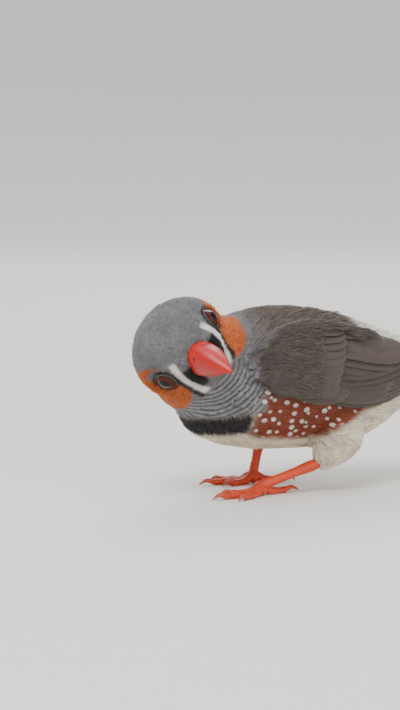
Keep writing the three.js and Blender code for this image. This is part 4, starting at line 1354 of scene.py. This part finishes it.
def mandible(up):
    """One half of the bill: at each station an arch |sin t|^0.85 high over the mouth line, closed by a
    floor, with painted shade along the mouth line and, on the upper half, nostrils."""
    u = np.linspace(0, len(BILL) - 1, 60)
    share, width, culmen, mouth, keel = spline(BILL, u).T[..., None]
    width = np.maximum(width, 0.12)
    edge = mouth + up * 0.07
    height = np.maximum(culmen - edge if up > 0 else edge - keel, 0.16)
    wide = width if up > 0 else 0.9 * width
    reach = 1 if up > 0 else 0.93
    ahead = BILL_BASE - 0.5 + (BILL_LENGTH * reach + 0.5) * share
    turn = np.linspace(0, np.pi, 41)[None, :]
    across = wide * np.cos(turn) * (1 - 0.12 * np.sin(turn))
    arch = stacked(ahead, across, edge + up * np.abs(np.sin(turn)) ** 0.85 * height)
    floor = stacked(ahead, wide * np.linspace(-0.9, 0.9, 9)[None, :], edge)
    rings = np.concatenate([arch, floor], axis=1)
    dark = np.zeros(rings.shape[:2])
    # Painted shade along the mouth line, where the two halves of the bill meet.
    dark[:, :turn.size] = 0.4 * np.exp(-(np.sin(turn) / 0.1) ** 2)
    if up > 0:
        rings, dark = sink_nostrils(rings, dark)
    tint = np.zeros((*rings.shape[:2], 4))
    # The tint's red carries the painted shade of the mouth line and the nostrils.
    tint[..., 0] = dark
    tint[..., 3] = 0.5 * smooth(1 - share, 0.75, 1.0) + 0.4 * smooth(share, 0.85, 1)
    points, faces = tube_mesh(from_head(rings))
    return points, faces, {"tint": np.vstack([tint.reshape(-1, 4), np.zeros((2, 4))])}


def at_eye(points, side):
    """Points about an eye's own axis, turned ahead by its angle and set in the head."""
    turn = math.radians(-side * EYE_TURN)
    x, y, z = np.moveaxis(points, -1, 0)
    turned = stacked(x * math.cos(turn) - y * math.sin(turn), x * math.sin(turn) + y * math.cos(turn), z)
    return from_head(turned + [EYE_AHEAD, side * EYE_OUT, EYE_UP])


def eye_ball(side):
    """A sphere about the eye's axis with a slightly raised cornea. Its attribute is the angle from the axis
    with the cosine and sine of the turn about it."""
    angle = np.linspace(0.015, np.pi - 0.015, 64)[:, None]
    turn = circle(72)[None, :]
    radius = EYE_RADIUS * (1 + 0.035 * np.exp(-(angle / 0.55) ** 2))
    spoke = radius * np.sin(angle)
    rings = stacked(spoke * np.cos(turn), side * radius * np.cos(angle), spoke * np.sin(turn))
    points, faces = tube_mesh(at_eye(rings, side))
    eye = stacked(angle, np.cos(turn), np.sin(turn)).reshape(-1, 3)
    return points, faces, {"eye": np.vstack([eye, [[0, 1, 0], [np.pi, 1, 0]]])}


def lid_ring(side):
    """The lids: a ring about the eye, thicker above, with small beads along its edge."""
    turn = circle(96)[:, None]
    section = circle(14)[None, :]
    thick = 0.26 + 0.04 * np.sin(turn) + 0.02 * np.sin(30 * turn)
    radius = EYE_RADIUS * 0.9 + thick * 0.8 * np.cos(section)
    out = side * (1.05 + 0.75 * thick * np.sin(section))
    rings = stacked(radius * np.cos(turn), out, 0.94 * radius * np.sin(turn))
    points = at_eye(rings, side).reshape(-1, 3)
    quads = ring_quads(*rings.shape[:2]) % len(points)
    return points, [quads], {"tint": np.zeros((len(points), 4))}


# Hind, inner, middle and outer toe.
TOES = [
    dict(turn=180, length=6.3, lumps=2, claw=3.2),
    dict(turn=24, length=6.2, lumps=2, claw=2.6),
    dict(turn=0, length=9, lumps=3, claw=2.9),
    dict(turn=-26, length=6.8, lumps=3, claw=2.5),
]
CLAW_RINGS = 26
CLAW_SIDES = 14


def scaled_tube(path, radii, sides, level, pitch, raised):
    """A tube whose upper side carries plates: the radius swells once in each `pitch` of its length, faded
    round to the under side. The tint's alpha darkens the grooves."""
    rings = tube_rings(path, radii, sides, level)
    centre = rings.mean(axis=1, keepdims=True)
    run = np.concatenate([[0], np.cumsum(np.linalg.norm(np.diff(centre[:, 0], axis=0), axis=1))])
    plate = np.sin(np.pi * (run / pitch % 1)) ** 0.5
    front = np.clip(0.35 + 0.65 * np.sin(ring_turns(sides)), 0, 1)
    grow = 1 + raised * plate[:, None] * front[None, :]
    groove = (1 - plate[:, None]) * front[None, :]
    points, faces = tube_mesh(centre + (rings - centre) * grow[..., None])
    tint = np.zeros((len(points), 4))
    tint[:-2, 3] = groove.ravel()
    return points, faces, {"tint": tint}


def hub_of(leg):
    """Where the toes meet, over the floor."""
    return np.array([leg["base"][0], leg["base"][1], 2.0])


def tarsus_part(leg):
    """The scaled shank from the ankle to the toes."""
    hub, ankle = hub_of(leg), np.array(leg["ankle"], float)
    path = np.array([ankle + (hub - ankle) * s for s in (0, 0.5, 1)])
    shares = profile([0.6, 1.2, 1.2, 1.05, 1, 1, 1.05, 1.1], 110)
    return scaled_tube(path, TARSUS_RADIUS * shares, 28, ACROSS, 1.05, 0.08)


def toe_parts(leg, toe):
    """A toe with plates above and pads below, laid on the floor, and its curved claw."""
    hub = hub_of(leg)
    turn = math.radians(leg["splay"] - leg["side"] * toe["turn"])
    way = np.array([-math.cos(turn), math.sin(turn), 0])

    def at(reach, height):
        """A place along the toe's way, at a height over the floor."""
        place = hub + way * reach
        return [place[0], place[1], height]

    length = toe["length"]
    path = np.array([at(-0.6, 2.1), at(0.9, 1.5), at(2.4, 0.66), at(length * 0.7, 0.58), at(length, 0.62)])
    along = np.linspace(0, 1, 70)
    radii = 0.98 - 0.36 * along + 0.07 * np.cos(2 * np.pi * toe["lumps"] * along)
    radii = radii * np.sqrt(np.clip((1.02 - along) / 0.1, 0.05, 1))
    points, faces, marks = scaled_tube(path, radii, 20, UPWARD, 0.62, 0.09)
    points[:, 2] = np.maximum(points[:, 2], FLOOR_GAP)
    end = length - 0.3
    hook = ((0, 0.72), (0.45, 1.02), (0.85, 0.58), (1, 0.08))
    claw_path = np.array([at(end + toe["claw"] * share, height) for share, height in hook])
    claw_radii = profile([0.5, 0.45, 0.3, 0.06], CLAW_RINGS)
    claw, claw_faces = tube_mesh(tube_rings(claw_path, claw_radii, CLAW_SIDES, UPWARD))
    claw[:, 2] = np.maximum(claw[:, 2], FLOOR_GAP)
    shade = np.zeros((len(claw), 4))
    shade[:-2, 3] = np.repeat(np.linspace(0.1, 1, CLAW_RINGS), CLAW_SIDES)
    return (points, faces, marks), (claw, claw_faces, {"tint": shade})


def foot_pad(leg):
    """The ball of the foot: a flattened sphere over the floor."""
    hub = hub_of(leg)
    angle = np.linspace(0.05, np.pi - 0.05, 24)[:, None]
    turn = circle(32)[None, :]
    rings = stacked(1.38 * np.sin(angle) * np.cos(turn), 1.25 * np.sin(angle) * np.sin(turn),
                    1.06 * np.cos(angle))
    points, faces = tube_mesh(rings + [hub[0], hub[1], 1.15])
    points[:, 2] = np.maximum(points[:, 2], FLOOR_GAP)
    return points, faces, {"tint": np.zeros((len(points), 4))}


class FinchPlumage(bpy.types.PropertyGroup):
    """Colours, coat sizes and markings of the finch."""

    coat_depth: bpy.props.FloatProperty(
        name="Coat depth", description="How far the feathers stand over the skin", default=0.001,
        unit="LENGTH")
    feather_spacing: bpy.props.FloatProperty(
        name="Feather spacing", description="Share of the even spacing between small feathers", default=1.0,
        subtype="FACTOR")
    bar_period: bpy.props.FloatProperty(
        name="Bar period", description="Distance from one throat bar to the next", default=0.00098,
        unit="LENGTH")
    spot_spacing: bpy.props.FloatProperty(
        name="Spot spacing", description="Distance between the flank's white spots", default=0.0021,
        unit="LENGTH")
    crown_colour: colour_property("Crown", "Grey of crown and nape", 120, 119, 121)
    back_colour: colour_property("Back", "Grey-brown of the mantle", 102, 92, 84)
    throat_colour: colour_property("Throat", "Grey between the throat bars", 146, 146, 148)
    bar_colour: colour_property("Throat bars", "Dark of the throat bars", 84, 84, 86)
    band_colour: colour_property("Black marks", "Breast band and the lines on the face", 22, 20, 21)
    cheek_colour: colour_property("Cheek", "Orange-chestnut cheek", 192, 96, 38)
    flank_colour: colour_property("Flank", "Chestnut flank", 134, 62, 36)
    belly_colour: colour_property("Belly", "Buff-white belly", 233, 220, 198)
    white_colour: colour_property("White", "Lores, rump and spots", 240, 236, 228)
    wing_colour: colour_property("Wing", "Grey-brown of the wing", 74, 66, 60)
    wing_edge_colour: colour_property("Wing edges", "Paler edges of the wing's feathers", 92, 83, 76)
    tail_colour: colour_property("Tail", "Black-brown tail", 30, 27, 27)
    tail_edge_colour: colour_property("Tail edges", "Edges of the tail feathers", 64, 58, 54)


class FinchParts(bpy.types.PropertyGroup):
    """Colours of bill, eyes and legs, and the studio."""

    bill_colour: colour_property("Bill", "Red-orange of the bill", 170, 15, 3)
    bill_second: colour_property("Bill base", "Paler orange at the bill's base", 188, 40, 10)
    leg_colour: colour_property("Legs", "Orange of the legs", 200, 60, 16)
    leg_groove: colour_property("Leg grooves", "Darker lines between scales", 150, 46, 18)
    claw_colour: colour_property("Claws", "Horn of the claws", 150, 80, 56)
    iris_colour: colour_property("Iris", "Red-brown iris", 92, 24, 12)
    lid_colour: colour_property("Lids", "Bare skin round the eye", 64, 54, 52)
    floor_colour: colour_property("Floor", "Pale studio floor", 226, 224, 220)


class FINCH_OT_coat(bpy.types.Operator):
    """Skin and small feathers"""

    bl_idname = "finch.coat"
    bl_label = "Skin and coat"

    def execute(self, context):
        props = context.scene.finch_plumage
        material = plumage_material(props)
        skin = skin_object(props)
        sunk = sink_sockets(mesh_arrays(skin.data)[0])
        skin.data.vertices.foreach_set("co", to_world(sunk).astype(np.float32).ravel())
        skin.data.update()
        points, normals, quads = mesh_arrays(skin.data)
        add_marks(skin.data, plumage(points, props))
        finish_piece(skin, material, "plumage", "torso", "neck", "head", "thigh_left", "thigh_right")
        field = SkinField(points, normals)
        placed = (points, quads, tract_masks(points[quads].mean(axis=1)))
        for number, (name, tract) in enumerate(TRACTS.items()):
            finish_piece(coat_tract(name, tract, placed, field, props, number), material, "plumage")
        depth = 1000 * props.coat_depth
        for name, leg in FEET.items():
            rng = np.random.default_rng(SHOULDER_SEED)
            roots = shoulder_roots(points, quads, leg["side"], rng)
            roots = roots[spaced(roots, SHOULDER["spacing"] * props.feather_spacing, rng)]
            piece = feather_piece("coat_shoulder_" + name, roots, field, props, SHOULDER, rng,
                                  lambda places: wing_height(places, depth))
            finish_piece(piece, material, "plumage")
        return {"FINISHED"}


class FINCH_OT_wings(bpy.types.Operator):
    """Both folded wings, feather by feather"""

    bl_idname = "finch.wings"
    bl_label = "Wings"

    def execute(self, context):
        props = context.scene.finch_plumage
        material = vane_material("Wing feathers", 0.62)
        for name, leg in FEET.items():
            parts = wing_parts(leg["side"], props, np.random.default_rng(WING_SEED))
            piece = put_mesh("wing_feathers_" + name, *joined(parts), atlas(parts))
            finish_piece(piece, material, "wing_feathers", "wing_" + name)
        return {"FINISHED"}


class FINCH_OT_tail(bpy.types.Operator):
    """Tail feathers and their coverts"""

    bl_idname = "finch.tail"
    bl_label = "Tail"

    def execute(self, context):
        parts = tail_parts(context.scene.finch_plumage, np.random.default_rng(TAIL_SEED))
        piece = put_mesh("tail_feathers", *joined(parts), atlas(parts))
        finish_piece(piece, vane_material("Tail feathers", 0.5), "tail_feathers", "tail")
        return {"FINISHED"}


class FINCH_OT_bill(bpy.types.Operator):
    """Both halves of the bill"""

    bl_idname = "finch.bill"
    bl_label = "Bill"

    def execute(self, context):
        props = context.scene.finch_parts
        material = horn_material("Bill", props.bill_colour, props.bill_second, 0.42, 0.12, 1800.0, 0.12)
        for name, up in (("upper", 1), ("lower", -1)):
            piece = put_mesh("bill_" + name + "_horn", *joined([mandible(up)]))
            finish_piece(piece, material, "bill", "bill_" + name)
        return {"FINISHED"}


class FINCH_OT_eyes(bpy.types.Operator):
    """Eyes and their lids"""

    bl_idname = "finch.eyes"
    bl_label = "Eyes"

    def execute(self, context):
        props = context.scene.finch_parts
        glass = eye_material(props)
        lids = horn_material("Lids", props.lid_colour, props.lid_colour, 0.6, 0.1, 2600.0, 0.4)
        for name, side in (("left", 1), ("right", -1)):
            ball = put_mesh("eye_ball_" + name, *joined([eye_ball(side)]))
            finish_piece(ball, glass, "eye", "eye_" + name)
            ring = put_mesh("eye_lids_" + name, *joined([lid_ring(side)]))
            finish_piece(ring, lids, "leg_skin")
        return {"FINISHED"}


class FINCH_OT_legs(bpy.types.Operator):
    """Scaled legs, toes and claws"""

    bl_idname = "finch.legs"
    bl_label = "Legs"

    def execute(self, context):
        props = context.scene.finch_parts
        skin = horn_material("Leg scales", props.leg_colour, props.leg_groove, 0.5, 0.15, 2200.0, 0.25)
        horn = horn_material("Claws", props.leg_colour, props.claw_colour, 0.4, 0.3, 1500.0, 0.1)
        for name, leg in FEET.items():
            shank = put_mesh("shank_" + name, *joined([tarsus_part(leg)]))
            finish_piece(shank, skin, "leg_skin", "tarsus_" + name)
            made = [toe_parts(leg, toe) for toe in TOES]
            toes = put_mesh("toes_" + name, *joined([toe for toe, _ in made] + [foot_pad(leg)]))
            finish_piece(toes, skin, "leg_skin", "foot_" + name)
            claws = put_mesh("claws_" + name, *joined([claw for _, claw in made]))
            finish_piece(claws, horn, "leg_skin")
        return {"FINISHED"}


# The studio, in metres and degrees.
FLOOR_FLAT = 0.9
FLOOR_RADIUS = 2.4
WALL_HEIGHT = 1.8
LIGHT_TARGET = np.array([0, 0, 0.025])
LIGHTS = [
    dict(name="key", place=(-0.45, -0.25, 0.75), size=0.5, power=7.5),
    dict(name="fill", place=(0.25, -0.9, 0.4), size=0.8, power=4),
    dict(name="rim", place=(0.35, 0.7, 0.7), size=0.5, power=5),
    dict(name="top", place=(0, 0, 2.2), size=3, power=30),
]
CAMERA_AZIMUTH = -25
CAMERA_ELEVATION = 6
CAMERA_DISTANCE = 0.4
# The point of the bird at the middle of the photo, in millimetres.
CAMERA_TARGET = (-12.6, -5.42, 28.3)
SENSOR_WIDTH = 36
FOCAL_PIXELS = 2060
PHOTO_HEIGHT = 710


class FINCH_OT_studio(bpy.types.Operator):
    """Floor, lights and camera"""

    bl_idname = "finch.studio"
    bl_label = "Studio"

    def execute(self, context):
        props = context.scene.finch_parts
        self.add_floor(props)
        self.add_lights(context)
        self.add_camera(context)
        return {"FINISHED"}

    def add_floor(self, props):
        """A round floor, flat in the middle, that turns up into a wall."""
        rims = np.concatenate([np.linspace(0, FLOOR_FLAT, 12)[1:], np.linspace(0.95, FLOOR_RADIUS, 40)])
        radius = rims[:, None]
        turn = circle(96)[None, :]
        height = WALL_HEIGHT * smooth(radius, FLOOR_FLAT, FLOOR_RADIUS) ** 1.5
        grid = stacked(radius * np.cos(turn), radius * np.sin(turn), height)
        points = 1000 * np.vstack([[[0, 0, 0]], grid.reshape(-1, 3)]) - SHIFT * [1, 1, 0]
        count, sides = grid.shape[:2]
        ring = np.arange(sides)
        fan = np.stack([0 * ring, 1 + ring, 1 + (ring + 1) % sides], axis=1)
        quads = ring_quads(count - 1, sides, 1)[:, [0, 3, 2, 1]]
        floor = put_mesh("studio_floor", points, [fan, quads])
        material, tree, shader = new_material("Studio floor", {"Roughness": 0.7, "Specular IOR Level": 0.2})
        place = object_place(tree)
        grain = group_node(tree, "Skin grain", {"Vector": place, "Scale": 90.0, "Strength": 0.02})
        colour = shaded(tree, (*props.floor_colour, 1), grain.outputs["Shade"])
        tree.links.new(colour, shader.inputs["Base Color"])
        floor.data.materials.append(material)

    def add_lights(self, context):
        """Soft area lights: a high key from the bird's front, a wide fill on the camera's side, a rim, and a
        large top light for the floor and wall."""
        world = context.scene.world or bpy.data.worlds.new("Studio")
        context.scene.world = world
        world.use_nodes = True
        background = world.node_tree.nodes["Background"]
        background.inputs["Color"].default_value = (0.86, 0.88, 0.9, 1)
        background.inputs["Strength"].default_value = 0.32
        for lit in LIGHTS:
            light = bpy.data.lights.new("studio_" + lit["name"], "AREA")
            light.size = lit["size"]
            light.energy = lit["power"]
            lamp = bpy.data.objects.new("studio_" + lit["name"], light)
            lamp.location = lit["place"]
            lamp.rotation_euler = aimed(LIGHT_TARGET - lit["place"]).to_euler()
            context.scene.collection.objects.link(lamp)

    def add_camera(self, context):
        """The photo's view of the bird."""
        azimuth, elevation = math.radians(CAMERA_AZIMUTH), math.radians(CAMERA_ELEVATION)
        level = math.cos(elevation)
        back = np.array([math.sin(azimuth) * level, -math.cos(azimuth) * level, math.sin(elevation)])
        lens = bpy.data.cameras.new("photo_camera")
        lens.sensor_fit = "AUTO"
        lens.sensor_width = SENSOR_WIDTH
        lens.lens = SENSOR_WIDTH * FOCAL_PIXELS / PHOTO_HEIGHT
        lens.clip_start = 0.01
        camera = bpy.data.objects.new("photo_camera", lens)
        camera.location = to_world(CAMERA_TARGET) + CAMERA_DISTANCE * back
        camera.rotation_euler = aimed(-back).to_euler()
        context.scene.collection.objects.link(camera)
        context.scene.camera = camera


def aimed(way):
    """The turn that points a lamp or camera along a direction."""
    return Vector(way).to_track_quat("-Z", "Y")


class FINCH_PT_panel(bpy.types.Panel):
    """The finch's sizes, colours and pieces"""

    bl_idname = "FINCH_PT_panel"
    bl_label = "Zebra finch"
    bl_space_type = "VIEW_3D"
    bl_region_type = "UI"
    bl_category = "Finch"

    def draw(self, context):
        for group_name in ("finch_plumage", "finch_parts"):
            props = getattr(context.scene, group_name)
            for key in props.__annotations__:
                self.layout.prop(props, key)
        for operator in OPERATORS:
            self.layout.operator(operator.bl_idname)


OPERATORS = (FINCH_OT_coat, FINCH_OT_wings, FINCH_OT_tail, FINCH_OT_bill, FINCH_OT_eyes, FINCH_OT_legs,
             FINCH_OT_studio)
CLASSES = (FinchPlumage, FinchParts, *OPERATORS, FINCH_PT_panel)


def register():
    """Registers the classes and hangs the property groups on the scene."""
    for made in CLASSES:
        bpy.utils.register_class(made)
    bpy.types.Scene.finch_plumage = bpy.props.PointerProperty(type=FinchPlumage)
    bpy.types.Scene.finch_parts = bpy.props.PointerProperty(type=FinchParts)


def unregister():
    """Takes away what register() added."""
    del bpy.types.Scene.finch_parts
    del bpy.types.Scene.finch_plumage
    for made in reversed(CLASSES):
        bpy.utils.unregister_class(made)


def main():
    """Builds every piece."""
    register()
    bpy.ops.finch.coat()
    bpy.ops.finch.wings()
    bpy.ops.finch.tail()
    bpy.ops.finch.bill()
    bpy.ops.finch.eyes()
    bpy.ops.finch.legs()
    bpy.ops.finch.studio()


if __name__ == "__main__":
    main()
